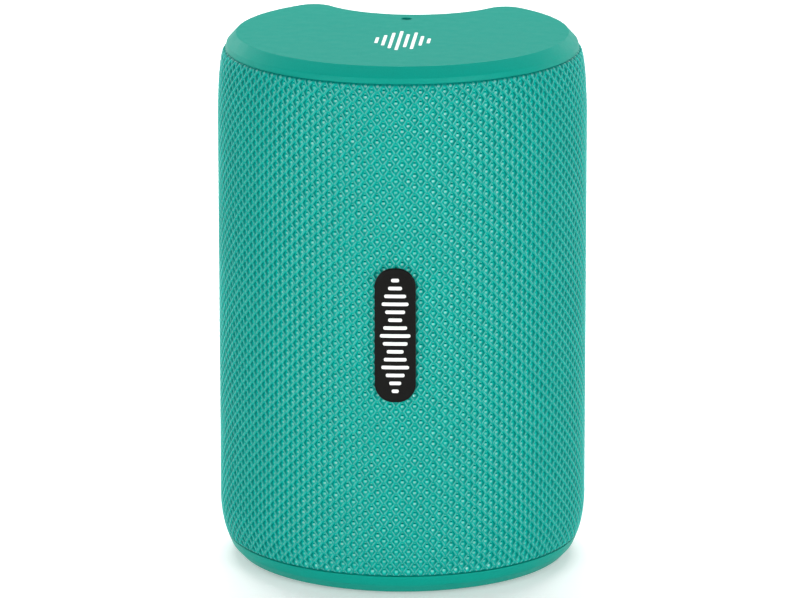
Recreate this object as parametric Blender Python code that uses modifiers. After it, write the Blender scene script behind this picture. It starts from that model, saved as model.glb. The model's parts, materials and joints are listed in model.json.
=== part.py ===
"""Portable bluetooth speaker: an upright tube of bean-shaped plan, round at the front and scooped at the back.

Frame: metres, +Z up, -Y is the fabric front, +Y is the scooped back with the controls.
The origin is on the axis of the round front, at the underside of the foot pad.
"""

import math

import bmesh
import bpy
from mathutils import Matrix, Vector

MM = 0.001

# ---- driving dimensions, in millimetres -------------------------------------------------
R_BODY = 38.0  # radius of the round front
SCOOP_Y = 38.3  # centre of the scoop, on the Y axis
SCOOP_R = 17.75  # radius of the scoop
HORN_R = 7.9  # rounding of the two rear edges
Z_BASE = 0.5  # underside of the base rim
Z_SEAM = 4.8  # top of the base rim, where the fabric starts
Z_FULL = 12.4  # the side is at full size from here
Z_SHOULDER = 92.6  # and up to here
Z_CAP = 107.6  # underside of the top cap's lip
Z_TOP = 110.9  # top face
CAP_LIP = 1.53  # inset of the cap's lip
CAP_CREASE = 3.74  # inset of the top face's edge
FABRIC_T = 1.2
FRAME_OUT = 1.5  # inset of the frame's outer and inner faces
FRAME_IN = 3.4
PANEL_IN = 3.2  # inset of the control panel's inner face
PANEL_HALF_DEG = 41.5  # half angle of the panel, seen from the scoop's centre
GAP = 0.3

BUTTON_Z = {"power": 92.5, "volume_up": 80.5, "play": 68.5, "volume_down": 56.5, "pair": 44.5}
BUTTON_R = 4.5
LIGHT_Z = 101.0

FLAP_Z0, FLAP_Z1, FLAP_TAB_Z = 11.8, 29.6, 33.2
FLAP_HALF_X, FLAP_TAB_HALF_X = 5.87, 2.5
USB_Z, AUX_Z = 16.8, 25.0

MIC_Y, MIC_R = 12.6, 1.15

BAFFLE_Y0, BAFFLE_Y1 = -19.5, -17.0
DRIVER_Z, RADIATOR_Z = 73.0, 26.0
PCB_Y0, PCB_Y1 = 10.3, 11.9
CELL_R, CELL_L, CELL_Y, CELL_Z = 9.2, 49.5, 0.2, 26.0
BASE_SCREWS = [(-11.0, -24.0), (11.0, -24.0), (-20.0, 17.0), (20.0, 17.0)]
PCB_SCREWS = [(-8.8, 98.5), (8.8, 38.0)]

# ---- scene set-up -----------------------------------------------------------------------
for old in list(bpy.data.objects):
    bpy.data.objects.remove(old, do_unlink=True)

PARTS = bpy.data.collections.new("portable_bluetooth_speaker")
CUTTERS = bpy.data.collections.new("cutters")
bpy.context.scene.collection.children.link(PARTS)
bpy.context.scene.collection.children.link(CUTTERS)

MATERIALS = {}


def material(name, rgb, roughness=0.5, metallic=0.0):
    if name not in MATERIALS:
        m = bpy.data.materials.new(name)
        m.use_nodes = True
        bsdf = m.node_tree.nodes["Principled BSDF"]
        bsdf.inputs["Base Color"].default_value = (*rgb, 1.0)
        bsdf.inputs["Roughness"].default_value = roughness
        bsdf.inputs["Metallic"].default_value = metallic
        m.diffuse_color = (*rgb, 1.0)
        MATERIALS[name] = m
    return MATERIALS[name]


TEAL = material("teal_plastic", (0.004, 0.35, 0.27), 0.42)
FABRIC = material("teal_fabric", (0.03, 0.40, 0.32), 0.9)
RUBBER = material("teal_rubber", (0.004, 0.28, 0.22), 0.7)
BLACK = material("black_plastic", (0.02, 0.02, 0.02), 0.45)
BLACK_RUBBER = material("black_rubber", (0.015, 0.015, 0.015), 0.8)
BADGE = material("badge", (0.012, 0.012, 0.012), 0.35)
STEEL = material("steel", (0.55, 0.55, 0.56), 0.35, 1.0)
FERRITE = material("ferrite", (0.05, 0.05, 0.055), 0.7)
PAPER = material("cone_paper", (0.03, 0.03, 0.03), 0.8)
BOARD = material("circuit_board", (0.02, 0.16, 0.06), 0.5)
COPPER = material("copper", (0.75, 0.33, 0.16), 0.35, 1.0)
CELL = material("cell_wrap", (0.03, 0.12, 0.45), 0.4)
CLEAR = material("light_pipe", (0.8, 0.85, 0.85), 0.1)
RED_WIRE = material("red_wire", (0.55, 0.02, 0.02), 0.5)
BLACK_WIRE = material("black_wire", (0.02, 0.02, 0.02), 0.5)


# ---- modelling helpers ------------------------------------------------------------------
def place(obj, mat, cutter=False):
    (CUTTERS if cutter else PARTS).objects.link(obj)
    if cutter:
        obj.hide_render = True
        obj.display_type = "WIRE"
    else:
        obj.data.materials.append(mat)
    return obj


def from_bmesh(name, bm, mat=None, cutter=False):
    bmesh.ops.recalc_face_normals(bm, faces=bm.faces)
    mesh = bpy.data.meshes.new(name)
    bm.to_mesh(mesh)
    bm.free()
    obj = bpy.data.objects.new(name, mesh)
    return place(obj, mat, cutter)


def smooth(obj, angle=32):
    obj.data.shade_smooth()
    obj.data.set_sharp_from_angle(angle=math.radians(angle))
    return obj


def outline(inset, z, n_arc=30, n_horn=4, n_scoop=8):
    """The bean-shaped plan, moved inwards by inset, as points at height z."""
    r, s = R_BODY - inset, SCOOP_R + inset
    f = max(HORN_R - inset, 1.5)
    # centre of the horn's rounding: it touches the round front from inside and the scoop from outside
    a, b = r - f, s + f
    y = (a * a - b * b + SCOOP_Y**2) / (2 * SCOOP_Y)
    x = math.sqrt(a * a - y * y)
    out = math.atan2(y, x)
    back = math.atan2(SCOOP_Y - y, -x)
    pts = []
    for i in range(n_arc):
        t = math.pi - out + (math.pi + 2 * out) * i / n_arc
        pts.append((r * math.cos(t), r * math.sin(t)))
    for i in range(n_horn):
        t = out + (back - out) * i / n_horn
        pts.append((x + f * math.cos(t), y + f * math.sin(t)))
    half = math.pi - back  # below the horizontal, seen from the scoop's centre
    for i in range(n_scoop):
        t = -half - (math.pi - 2 * half) * i / n_scoop
        pts.append((s * math.cos(t), SCOOP_Y + s * math.sin(t)))
    for i in range(n_horn):
        t = (math.pi - back) + (back - out) * i / n_horn
        pts.append((-x + f * math.cos(t), y + f * math.sin(t)))
    return [Vector((px * MM, py * MM, z * MM)) for px, py in pts]


def strip(d_out, d_in, half_deg, z, n=6):
    """A band of the scoop's wall between two insets, as points at height z."""
    pts = []
    for d, side in ((d_out, 1), (d_in, -1)):
        for i in range(n + 1):
            t = math.radians(-90 + side * half_deg * (2 * i / n - 1))
            s = SCOOP_R + d
            pts.append(Vector((s * math.cos(t) * MM, (SCOOP_Y + s * math.sin(t)) * MM, z * MM)))
    return pts


def loft(name, rings, mat=None, closed=False, cutter=False):
    """A solid through rings of equal point count. closed joins the last ring to the first and leaves the middle open."""
    bm = bmesh.new()
    loops = [[bm.verts.new(p) for p in ring] for ring in rings]
    pairs = list(zip(loops, loops[1:])) + ([(loops[-1], loops[0])] if closed else [])
    for low, high in pairs:
        for i in range(len(low)):
            j = (i + 1) % len(low)
            bm.faces.new((low[i], low[j], high[j], high[i]))
    if not closed:
        bm.faces.new(loops[0])
        bm.faces.new(loops[-1])
    return from_bmesh(name, bm, mat, cutter)


def prism(name, points, z0, z1, mat=None, cutter=False):
    """A flat outline, given as (x, y) in millimetres, extruded from z0 to z1."""
    bm = bmesh.new()
    face = bm.faces.new([bm.verts.new((x * MM, y * MM, z0 * MM)) for x, y in points])
    grown = bmesh.ops.extrude_face_region(bm, geom=[face])
    top = [v for v in grown["geom"] if isinstance(v, bmesh.types.BMVert)]
    bmesh.ops.translate(bm, verts=top, vec=(0, 0, (z1 - z0) * MM))
    return from_bmesh(name, bm, mat, cutter)


def box(name, lo, hi, mat=None, cutter=False, bevel=0.0):
    bm = bmesh.new()
    bmesh.ops.create_cube(bm, size=1.0)
    size = [(b - a) * MM for a, b in zip(lo, hi)]
    bmesh.ops.scale(bm, vec=size, verts=bm.verts)
    obj = from_bmesh(name, bm, mat, cutter)
    obj.location = [(a + b) / 2 * MM for a, b in zip(lo, hi)]
    if bevel:
        m = obj.modifiers.new("rounded_edges", "BEVEL")
        m.width = bevel * MM
        m.segments = 1
        m.limit_method = "ANGLE"
    return obj


AXES = {"Z": Matrix.Identity(3), "Y": Matrix.Rotation(math.radians(-90), 3, "X"), "X": Matrix.Rotation(math.radians(90), 3, "Y")}


def cylinder(name, radius, start, end, at, axis="Y", mat=None, cutter=False, segments=20, bevel=0.0):
    """A cylinder along axis from start to end, centred at the other two coordinates given by at."""
    bm = bmesh.new()
    bmesh.ops.create_cone(bm, cap_ends=True, segments=segments, radius1=radius * MM, radius2=radius * MM, depth=(end - start) * MM)
    obj = from_bmesh(name, bm, mat, cutter)
    mid = (start + end) / 2
    where = {"X": (mid, at[0], at[1]), "Y": (at[0], mid, at[1]), "Z": (at[0], at[1], mid)}[axis]
    obj.matrix_world = Matrix.Translation([c * MM for c in where]) @ AXES[axis].to_4x4()
    if bevel:
        m = obj.modifiers.new("rounded_edges", "BEVEL")
        m.width = bevel * MM
        m.segments = 2
        m.limit_method = "ANGLE"
    if not cutter:
        smooth(obj)
    return obj


def turned(name, profile, at, axis="Y", mat=None, cutter=False, segments=22):
    """A turned shape. profile holds (radius, position along axis) in millimetres, and closes on itself.
    It runs so that the outer side goes from the far end of the axis to the near one."""
    area = sum(a[0] * b[1] - b[0] * a[1] for a, b in zip(profile, profile[1:] + profile[:1]))
    if area > 0:
        profile = profile[::-1]
    on_axis = [i for i, p in enumerate(profile) if p[0] == 0]
    bm = bmesh.new()
    verts = [bm.verts.new((r * MM, 0, h * MM)) for r, h in profile]
    for i in range(len(verts)):
        j = (i + 1) % len(verts)
        if not (i in on_axis and j in on_axis):
            bm.edges.new((verts[i], verts[j]))
    mesh = bpy.data.meshes.new(name)
    bm.to_mesh(mesh)
    bm.free()
    obj = bpy.data.objects.new(name, mesh)
    place(obj, mat, cutter)
    where = {"Y": (at[0], 0, at[1]), "Z": (at[0], at[1], 0), "X": (0, at[0], at[1])}[axis]
    obj.matrix_world = Matrix.Translation([c * MM for c in where]) @ AXES[axis].to_4x4()
    m = obj.modifiers.new("turn", "SCREW")
    m.axis = "Z"
    m.steps = m.render_steps = segments
    m.use_merge_vertices = True
    m.merge_threshold = 0.00001
    m.use_smooth_shade = False
    return obj


def cut(obj, cutter, operation="DIFFERENCE"):
    m = obj.modifiers.new(operation.lower(), "BOOLEAN")
    m.operation = operation
    m.solver = "EXACT"
    m.object = cutter
    return obj


def join(obj, other):
    return cut(obj, other, "UNION")


def tube(name, points, radius, mat, count=11):
    """A wire through the given points, in millimetres, on a smooth curve."""
    pts = [Vector(p) for p in points]
    ext = [2 * pts[0] - pts[1]] + pts + [2 * pts[-1] - pts[-2]]
    line = []
    for i in range(count):
        u = i / (count - 1) * (len(pts) - 1)
        k = min(int(u), len(pts) - 2)
        t = u - k
        a, b, c, d = ext[k : k + 4]
        line.append(0.5 * ((2 * b) + (c - a) * t + (2 * a - 5 * b + 4 * c - d) * t * t + (3 * b - a - 3 * c + d) * t**3))
    curve = bpy.data.curves.new(name, "CURVE")
    curve.dimensions = "3D"
    curve.bevel_depth = radius * MM
    curve.bevel_resolution = 1
    curve.use_fill_caps = True
    spline = curve.splines.new("POLY")
    spline.points.add(len(line) - 1)
    for p, q in zip(spline.points, line):
        p.co = (*(q * MM), 1.0)
    obj = bpy.data.objects.new(name, curve)
    return place(obj, mat)


def side_inset(z):
    """How far the fabric's outer face lies inside the full outline at height z."""
    if z < Z_FULL:
        k = (Z_FULL - z) / (Z_FULL - Z_SEAM)
        return 1.25 * k * k
    if z > Z_SHOULDER:
        k = min(1.0, (z - Z_SHOULDER) / (Z_CAP - Z_SHOULDER))
        return CAP_LIP * (1 - math.sqrt(max(0.0, 1 - k * k)))
    return 0.0


# ---- base -------------------------------------------------------------------------------
base = loft(
    "base_cap",
    [
        outline(4.8, Z_BASE),
        outline(3.7, 0.9),
        outline(2.07, 2.65),
        outline(1.25, Z_SEAM),
        outline(3.6, Z_SEAM),
        outline(4.4, 2.9),
    ],
    TEAL,
)
foot_recess = loft("cut_foot_recess", [outline(8.2, -1), outline(8.2, 1.3)], cutter=True)
cut(base, foot_recess)
for i, (x, y) in enumerate(BASE_SCREWS, 1):
    join(base, cylinder(f"add_base_post_{i}", 3.6, 2.0, Z_SEAM, (x, y), "Z", cutter=True, segments=16))
for i, (x, y) in enumerate(BASE_SCREWS, 1):
    cut(base, cylinder(f"cut_base_head_{i}", 2.7, 0.8, 3.3, (x, y), "Z", cutter=True, segments=16))
    cut(base, cylinder(f"cut_base_shank_{i}", 1.3, 2.5, 6, (x, y), "Z", cutter=True, segments=12))

foot = loft("foot_pad", [outline(8.9, 0.0), outline(8.5, 0.35), outline(8.5, 1.0)], RUBBER)

for i, (x, y) in enumerate(BASE_SCREWS, 1):
    turned(f"base_screw_{i}", [(0, 1.6), (2.0, 1.6), (2.4, 2.1), (2.4, 3.0), (1.0, 3.0), (1.0, 8.3), (0.5, 8.9), (0, 8.9)], (x, y), "Z", STEEL, segments=12)

# ---- outer frame ------------------------------------------------------------------------
Z_FRAME0, Z_FRAME1 = 5.1, 107.2
frame = loft(
    "grille_frame",
    [
        outline(2.75, Z_FRAME0),
        outline(1.9, 8.5),
        outline(FRAME_OUT, Z_FULL),
        outline(FRAME_OUT, Z_SHOULDER),
        outline(1.75, 101.0),
        outline(2.6, Z_FRAME1),
        outline(FRAME_IN, Z_FRAME1),
        outline(FRAME_IN, 7.3),
        outline(17.0, 7.3),
        outline(17.0, Z_FRAME0),
    ],
    BLACK,
    closed=True,
)
for i, (x, y) in enumerate(BASE_SCREWS, 1):
    join(frame, cylinder(f"add_frame_post_{i}", 3.2, 5.4, 9.2, (x, y), "Z", cutter=True, segments=16))
for i, (x, y) in enumerate(BASE_SCREWS, 1):
    cut(frame, cylinder(f"cut_frame_post_{i}", 1.3, 4.0, 10.0, (x, y), "Z", cutter=True, segments=12))


def wedge(half_deg, z0, z1, name):
    far = 30.0
    pts = [(0.0, SCOOP_Y)]
    for side in (-1, 1):
        t = math.radians(-90 + side * half_deg)
        pts.append((far * math.cos(t), SCOOP_Y + far * math.sin(t)))
    return prism(name, pts, z0, z1, cutter=True)


opening = wedge(PANEL_HALF_DEG + 0.85, -5, 125, "cut_panel_opening")
# the lip stays below the panel, so the wedge over the frame starts at the lip's top
cut(frame, opening)
for k in range(7):
    x = (k - 3) * 6.0
    half = 22.0 * math.sqrt(max(0.1, 1 - (abs(x) / 23.5) ** 2))
    cut(frame, box(f"cut_driver_slot_{k}", (x - 1.6, -45, DRIVER_Z - half), (x + 1.6, -25, DRIVER_Z + half), cutter=True))
for k in range(5):
    x = (k - 2) * 6.0
    half = 14.0 * math.sqrt(max(0.1, 1 - (abs(x) / 15.5) ** 2))
    cut(frame, box(f"cut_radiator_slot_{k}", (x - 1.6, -45, RADIATOR_Z - half), (x + 1.6, -30.5, RADIATOR_Z + half), cutter=True))

# ---- fabric -----------------------------------------------------------------------------
outer_z = [Z_SEAM + GAP, 8.5, Z_FULL, Z_SHOULDER, 99.0, 104.0, 107.3]
inner = [(107.3, 2.25), (101.0, 1.4), (Z_SHOULDER, FABRIC_T), (Z_FULL, FABRIC_T), (8.5, 1.55), (Z_SEAM + GAP, 2.42)]
fabric = loft(
    "fabric_sleeve",
    [outline(side_inset(z), z) for z in outer_z] + [outline(d, z) for z, d in inner],
    FABRIC,
    closed=True,
)
cut(fabric, opening)

# ---- badge on the front -----------------------------------------------------------------
BADGE_X, BADGE_Z0, BADGE_Z1, BADGE_W = 1.2, 42.2, 70.3, 8.4


def pill(width, length, n=7):
    pts = []
    r = width / 2
    for side in (1, -1):
        for i in range(n + 1):
            t = math.pi * i / n
            pts.append((side * r * math.cos(t), side * (length / 2 - r + r * math.sin(t))))
    return pts


badge = prism("badge", pill(BADGE_W, BADGE_Z1 - BADGE_Z0), -6, 6, BADGE)
badge.matrix_world = Matrix.Translation((BADGE_X * MM, -(R_BODY + 0.5) * MM, (BADGE_Z0 + BADGE_Z1) / 2 * MM)) @ Matrix.Rotation(math.radians(90), 4, "X")
badge_shell = turned("cut_badge_shell", [(R_BODY + 0.3, 30), (R_BODY + 0.3, 80), (R_BODY + 0.95, 80), (R_BODY + 0.95, 30)], (0, 0), "Z", cutter=True, segments=120)
cut(badge, badge_shell, "INTERSECT")

# ---- control panel in the scoop ---------------------------------------------------------
panel_z = outer_z
panel = loft("back_panel", [strip(side_inset(z), PANEL_IN, PANEL_HALF_DEG, z) for z in panel_z], TEAL)
for i, (x, z) in enumerate(PCB_SCREWS, 1):
    join(panel, cylinder(f"add_panel_post_{i}", 2.2, PCB_Y1 + GAP, 20.6, (x, z), cutter=True, segments=14))
for i, (x, z) in enumerate(PCB_SCREWS, 1):
    cut(panel, cylinder(f"cut_panel_post_{i}", 1.2, PCB_Y1 - 1, 18.4, (x, z), cutter=True, segments=10))
for name, z in BUTTON_Z.items():
    cut(panel, cylinder(f"cut_button_{name}", BUTTON_R + GAP, 10, 30, (0, z), cutter=True, segments=18))
cut(panel, cylinder("cut_light", 1.25, 10, 30, (0, LIGHT_Z), cutter=True, segments=12))
flap_recess = loft("cut_flap_recess", [strip(-4, 1.8, 20.6, FLAP_Z0 - GAP, 6), strip(-4, 1.8, 20.6, FLAP_Z1 + 0.7, 6)], cutter=True)
cut(panel, flap_recess)
cut(panel, loft("cut_flap_tab", [strip(-4, 1.8, 9.2, FLAP_Z1 - 1, 4), strip(-4, 1.8, 9.2, FLAP_TAB_Z + GAP, 4)], cutter=True))
cut(panel, box("cut_usb", (-4.8, 10, USB_Z - 1.95), (4.8, 30, USB_Z + 1.95), cutter=True, bevel=1.2))
cut(panel, cylinder("cut_aux", 3.25, 10, 30, (0, AUX_Z), cutter=True, segments=18))

# ---- port flap, hinged at its tab ---------------------------------------------------------
HINGE_Y, HINGE_Z = SCOOP_Y - SCOOP_R - 0.7, FLAP_TAB_Z - 0.6
flap = loft("port_flap", [strip(0.1, 1.3, 19.2, FLAP_Z0, 6), strip(0.1, 1.3, 19.2, FLAP_Z1, 6)], RUBBER)
join(flap, loft("add_flap_tab", [strip(0.1, 1.3, 8.0, FLAP_Z1 - 0.8, 4), strip(0.1, 1.3, 8.0, FLAP_TAB_Z - 0.25, 4), strip(0.4, 1.0, 8.0, FLAP_TAB_Z, 4)], cutter=True))
# origin on the hinge's axis
shift = Vector((0, HINGE_Y * MM, HINGE_Z * MM))
for o in (flap, bpy.data.objects["add_flap_tab"]):
    o.data.transform(Matrix.Translation(-shift))
    o.location = shift

# ---- buttons, pressed towards the front ----------------------------------------------------
for name, z in BUTTON_Z.items():
    b = turned(
        f"button_{name}",
        [(0, 21.75), (2.8, 21.7), (4.5, 21.0), (4.5, 17.0), (5.3, 17.0), (5.3, 16.2), (1.3, 16.2), (1.3, 14.4), (0, 14.4)],
        (0, z), "Y", RUBBER, segments=18,
    )
    # origin on the button's own axis, at the panel's face
    b.data.transform(Matrix.Translation((0, 0, -20.5 * MM)))
    b.matrix_world = Matrix.Translation((0, 20.5 * MM, z * MM)) @ AXES["Y"].to_4x4()
    box(f"switch_{name}", (-2.6, PCB_Y1 + GAP, z - 2.6), (2.6, 13.7, z + 2.6), BLACK, bevel=0.3)

cylinder("status_light_pipe", 0.95, PCB_Y1 + 0.8, 20.45, (0, LIGHT_Z), "Y", CLEAR, segments=10)

# ---- top cap ------------------------------------------------------------------------------
cap = loft(
    "top_cap",
    [
        outline(6.2, 108.9),
        outline(6.2, 103.8),
        outline(5.0, 103.8),
        outline(5.0, Z_CAP),
        outline(CAP_LIP, Z_CAP),
        outline(1.8, 108.8),
        outline(CAP_CREASE, Z_TOP),
    ],
    TEAL,
)
cut(cap, cylinder("cut_mic_pocket", 3.0, 100, 108.9, (0, MIC_Y), "Z", cutter=True, segments=16))
cut(cap, cylinder("cut_mic_hole", MIC_R, 105, 115, (0, MIC_Y), "Z", cutter=True, segments=16))
loft("cap_seal", [outline(3.7, 104.6), outline(3.7, 106.4), outline(4.7, 106.4), outline(4.7, 104.6)], BLACK_RUBBER, closed=True)
turned("mic_boot", [(0.9, 108.6), (2.6, 108.6), (2.6, 105.2), (2.1, 105.2), (2.1, 107.9), (0.9, 107.9)], (0, MIC_Y), "Z", BLACK_RUBBER, segments=16)
cylinder("microphone", 1.8, 105.9, 107.6, (0, MIC_Y), "Z", STEEL, segments=14)

# ---- baffle -------------------------------------------------------------------------------
baffle = box("front_baffle", (-27.8, BAFFLE_Y0, 7.6), (27.8, BAFFLE_Y1, 103.4), BLACK)
cut(baffle, cylinder("cut_driver_hole", 21.9, -25, -10, (0, DRIVER_Z), cutter=True, segments=24))
cut(baffle, cylinder("cut_radiator_hole", 16.0, -25, -10, (0, RADIATOR_Z), cutter=True, segments=20))

# ---- loudspeaker driver, turned about its own axis ----------------------------------------
AT = (0, DRIVER_Z)
basket = turned(
    "driver_basket",
    [(20.9, -21.7), (25.4, -21.7), (25.4, -20.5), (21.6, -20.5), (21.2, -18.6), (15.6, -9.0), (15.6, -8.0), (7.3, -8.0), (7.3, -8.9), (13.9, -8.9), (13.9, -10.4), (14.6, -10.6), (19.9, -19.3), (20.9, -19.3)],
    AT, "Y", STEEL, segments=24,
)
for k in range(4):
    t = math.radians(90 * k)
    w = box(f"cut_basket_window_{k}", (-5.5, -17.6, 13.0), (5.5, -11.8, 30.0), cutter=True)
    w.matrix_world = Matrix.Translation((0, 0, DRIVER_Z * MM)) @ Matrix.Rotation(t, 4, "Y") @ Matrix.Translation((0, -14.7 * MM, 21.5 * MM))
    cut(basket, w)
gasket = turned("driver_gasket", [(22.0, -20.2), (25.2, -20.2), (25.2, -19.8), (22.0, -19.8)], AT, "Y", BLACK_RUBBER, segments=24)
SCREW_AT = [(sx * 16.6, DRIVER_Z + sz * 16.6) for sx in (-1, 1) for sz in (-1, 1)]
for i, (x, z) in enumerate(SCREW_AT, 1):
    hole = cylinder(f"cut_driver_screw_{i}", 1.2, -25, -10, (x, z), cutter=True, segments=10)
    for piece in (basket, gasket, baffle):
        cut(piece, hole)
    turned(f"driver_screw_{i}", [(0, -23.1), (1.5, -23.0), (2.0, -22.5), (2.0, -22.0), (0.85, -22.0), (0.85, -15.4), (0, -14.6)], (x, z), "Y", STEEL, segments=10)
turned("driver_top_plate", [(7.25, -7.7), (13.0, -7.7), (13.0, -5.2), (7.25, -5.2)], AT, "Y", STEEL)
turned("driver_magnet", [(8.6, -4.9), (15.5, -4.9), (15.5, 1.1), (8.6, 1.1)], AT, "Y", FERRITE)
turned("driver_yoke", [(0, -7.6), (6.0, -7.6), (6.0, 1.4), (14.5, 1.4), (14.5, 3.6), (13.9, 4.2), (0, 4.2)], AT, "Y", STEEL)
turned("voice_coil", [(6.35, -13.6), (6.85, -13.6), (6.85, -3.0), (6.35, -3.0)], AT, "Y", COPPER)
turned("driver_cone", [(7.15, -13.7), (12.5, -16.6), (17.4, -20.0), (17.4, -19.4), (12.5, -15.9), (7.15, -12.9)], AT, "Y", PAPER)
turned("dust_cap", [(8.6, -15.0), (6.5, -16.9), (3.5, -18.2), (0, -18.6), (0, -18.1), (3.4, -17.7), (6.1, -16.4), (8.1, -14.6)], AT, "Y", PAPER)


def roll(r0, r1, y, height, thick, n=4):
    """The section of a half-roll surround between two radii, bulging to the front."""
    mid, half = (r0 + r1) / 2, (r1 - r0) / 2
    front, back = [], []
    for i in range(n + 1):
        t = math.pi * i / n
        front.append((mid - half * math.cos(t), y - thick - height * math.sin(t)))
        back.append((mid - (half - thick * 0.9 * math.sin(t)) * math.cos(t), y - (height) * math.sin(t)))
    return front + back[::-1]


turned("driver_surround", roll(17.7, 20.6, -19.6, 1.3, 0.4), AT, "Y", BLACK_RUBBER, segments=20)
spider = []
for i in range(9):
    r = 7.2 + i * (13.5 - 7.2) / 8
    spider.append((r, -11.2 + 0.35 * math.sin(i * math.pi / 2)))
turned("driver_spider", spider + [(r, y + 0.35) for r, y in reversed(spider)], AT, "Y", CELL, segments=18)

# ---- passive radiator ----------------------------------------------------------------------
AT = (0, RADIATOR_Z)
turned("radiator_frame", [(13.6, -21.3), (18.0, -21.3), (18.0, -19.8), (15.2, -19.8), (15.2, -18.2), (13.6, -18.2)], AT, "Y", BLACK)
turned("radiator_surround", roll(9.7, 13.3, -20.4, 1.5, 0.5), AT, "Y", BLACK_RUBBER, segments=20)
turned("radiator_plate", [(0, -21.2), (9.4, -21.2), (9.4, -20.2), (6.0, -20.2), (6.0, -17.6), (0, -17.6)], AT, "Y", STEEL)

# ---- power --------------------------------------------------------------------------------
turned("battery_cell", [(0, -24.75), (8.6, -24.75), (CELL_R, -24.2), (CELL_R, 23.4), (8.7, 23.9), (3.0, 23.9), (3.0, 24.75), (0, 24.75)], (CELL_Y, CELL_Z), "X", CELL, segments=20)
cradle = box("battery_cradle", (-23.0, -10.0, 7.6), (23.0, 9.9, 20.0), BLACK)
cut(cradle, cylinder("cut_cell_seat", CELL_R + GAP, -60, 60, (CELL_Y, CELL_Z), "X", cutter=True, segments=24))
cut(cradle, box("cut_cradle_arch", (-17.0, -20, 0), (17.0, 20, 14.2), cutter=True))

# ---- electronics ----------------------------------------------------------------------------
pcb = box("main_board", (-11.5, PCB_Y0, 12.0), (11.5, PCB_Y1, 103.0), BOARD)
for i, (x, z) in enumerate(PCB_SCREWS, 1):
    cut(pcb, cylinder(f"cut_board_{i}", 1.3, 0, 20, (x, z), cutter=True, segments=12))
    turned(f"board_screw_{i}", [(0, 8.5), (1.5, 8.6), (2.0, 9.1), (2.0, 10.0), (0.85, 10.0), (0.85, 17.0), (0, 17.8)], (x, z), "Y", STEEL, segments=10)
box("amplifier_chip", (-3.5, 8.8, 58.5), (3.5, 10.0, 65.5), BLACK, bevel=0.25)
box("bluetooth_module", (-6.5, 7.8, 78.0), (6.5, 10.0, 96.0), STEEL, bevel=0.3)
cylinder("capacitor", 2.6, 4.4, 10.0, (6.8, 50.0), "Y", BLACK, segments=16)
plug = box("battery_connector", (-9.4, 5.0, 37.6), (-2.4, 10.0, 43.2), PAPER, bevel=0.3)

usb = box("usb_socket", (-4.45, PCB_Y1 + GAP, USB_Z - 1.6), (4.45, 18.6, USB_Z + 1.6), STEEL, bevel=1.1)
cavity = box("cut_usb_cavity", (-4.1, 14.0, USB_Z - 1.25), (4.1, 25.0, USB_Z + 1.25), cutter=True, bevel=0.9)
cut(usb, cavity)
join(usb, box("add_usb_tongue", (-3.3, 13.5, USB_Z - 0.35), (3.3, 18.0, USB_Z + 0.35), cutter=True))
jack = box("aux_jack", (-3.2, PCB_Y1 + GAP, AUX_Z - 3.2), (3.2, 17.0, AUX_Z + 3.2), BLACK)
join(jack, cylinder("add_jack_collar", 2.9, 16.5, 18.6, (0, AUX_Z), cutter=True, segments=18))
cut(jack, cylinder("cut_jack_bore", 1.8, 13.4, 25, (0, AUX_Z), cutter=True, segments=16))

# ---- leads inside the case --------------------------------------------------------------------
tube("speaker_lead_pos", [(-6, -12, 53.6), (-6.5, -5, 51.8), (-5.5, 3, 51.2), (-5, 9.7, 52.5)], 0.6, RED_WIRE)
tube("speaker_lead_neg", [(-2.5, -12, 53.0), (-3, -5, 50.8), (-2.4, 3, 50.0), (-2, 9.7, 50.8)], 0.6, BLACK_WIRE)
tube("battery_lead_pos", [(25.8, 0.4, 28.0), (27.6, 1.6, 32.5), (23.0, 3.2, 37.4), (10.0, 4.6, 39.0), (-1.6, 6.4, 40.4)], 0.6, RED_WIRE, 15)
tube("battery_lead_neg", [(-25.7, 2.0, 28.0), (-27.2, 4.0, 32.5), (-22.0, 6.4, 38.6), (-10.2, 7.2, 40.4)], 0.6, BLACK_WIRE, 13)

for o in PARTS.objects:
    if o.type == "MESH" and not any(p.use_smooth for p in o.data.polygons) and o.data.polygons:
        smooth(o)
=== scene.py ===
"""The looks of the portable bluetooth speaker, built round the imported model. Lengths here are in millimetres."""

import json
import math

import bmesh
import bpy
import numpy as np
from mathutils import Matrix, Vector


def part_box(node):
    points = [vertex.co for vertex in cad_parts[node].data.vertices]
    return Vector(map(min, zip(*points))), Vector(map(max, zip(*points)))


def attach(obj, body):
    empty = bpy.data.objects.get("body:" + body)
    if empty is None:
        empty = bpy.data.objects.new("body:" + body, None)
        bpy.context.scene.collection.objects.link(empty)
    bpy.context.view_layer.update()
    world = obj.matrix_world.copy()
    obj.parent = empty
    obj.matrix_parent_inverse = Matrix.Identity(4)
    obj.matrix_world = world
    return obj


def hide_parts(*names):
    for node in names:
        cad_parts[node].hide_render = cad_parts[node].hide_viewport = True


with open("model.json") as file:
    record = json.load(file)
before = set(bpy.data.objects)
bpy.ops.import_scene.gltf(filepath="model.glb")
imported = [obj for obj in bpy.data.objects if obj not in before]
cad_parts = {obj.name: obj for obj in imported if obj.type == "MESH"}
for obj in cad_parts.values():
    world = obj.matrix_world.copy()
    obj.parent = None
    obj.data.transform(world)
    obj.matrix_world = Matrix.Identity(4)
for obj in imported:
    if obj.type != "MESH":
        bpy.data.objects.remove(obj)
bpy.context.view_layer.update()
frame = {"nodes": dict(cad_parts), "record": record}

MM = 0.001


def span(node):
    low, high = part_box(node)
    return [c / MM for c in low], [c / MM for c in high]


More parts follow.
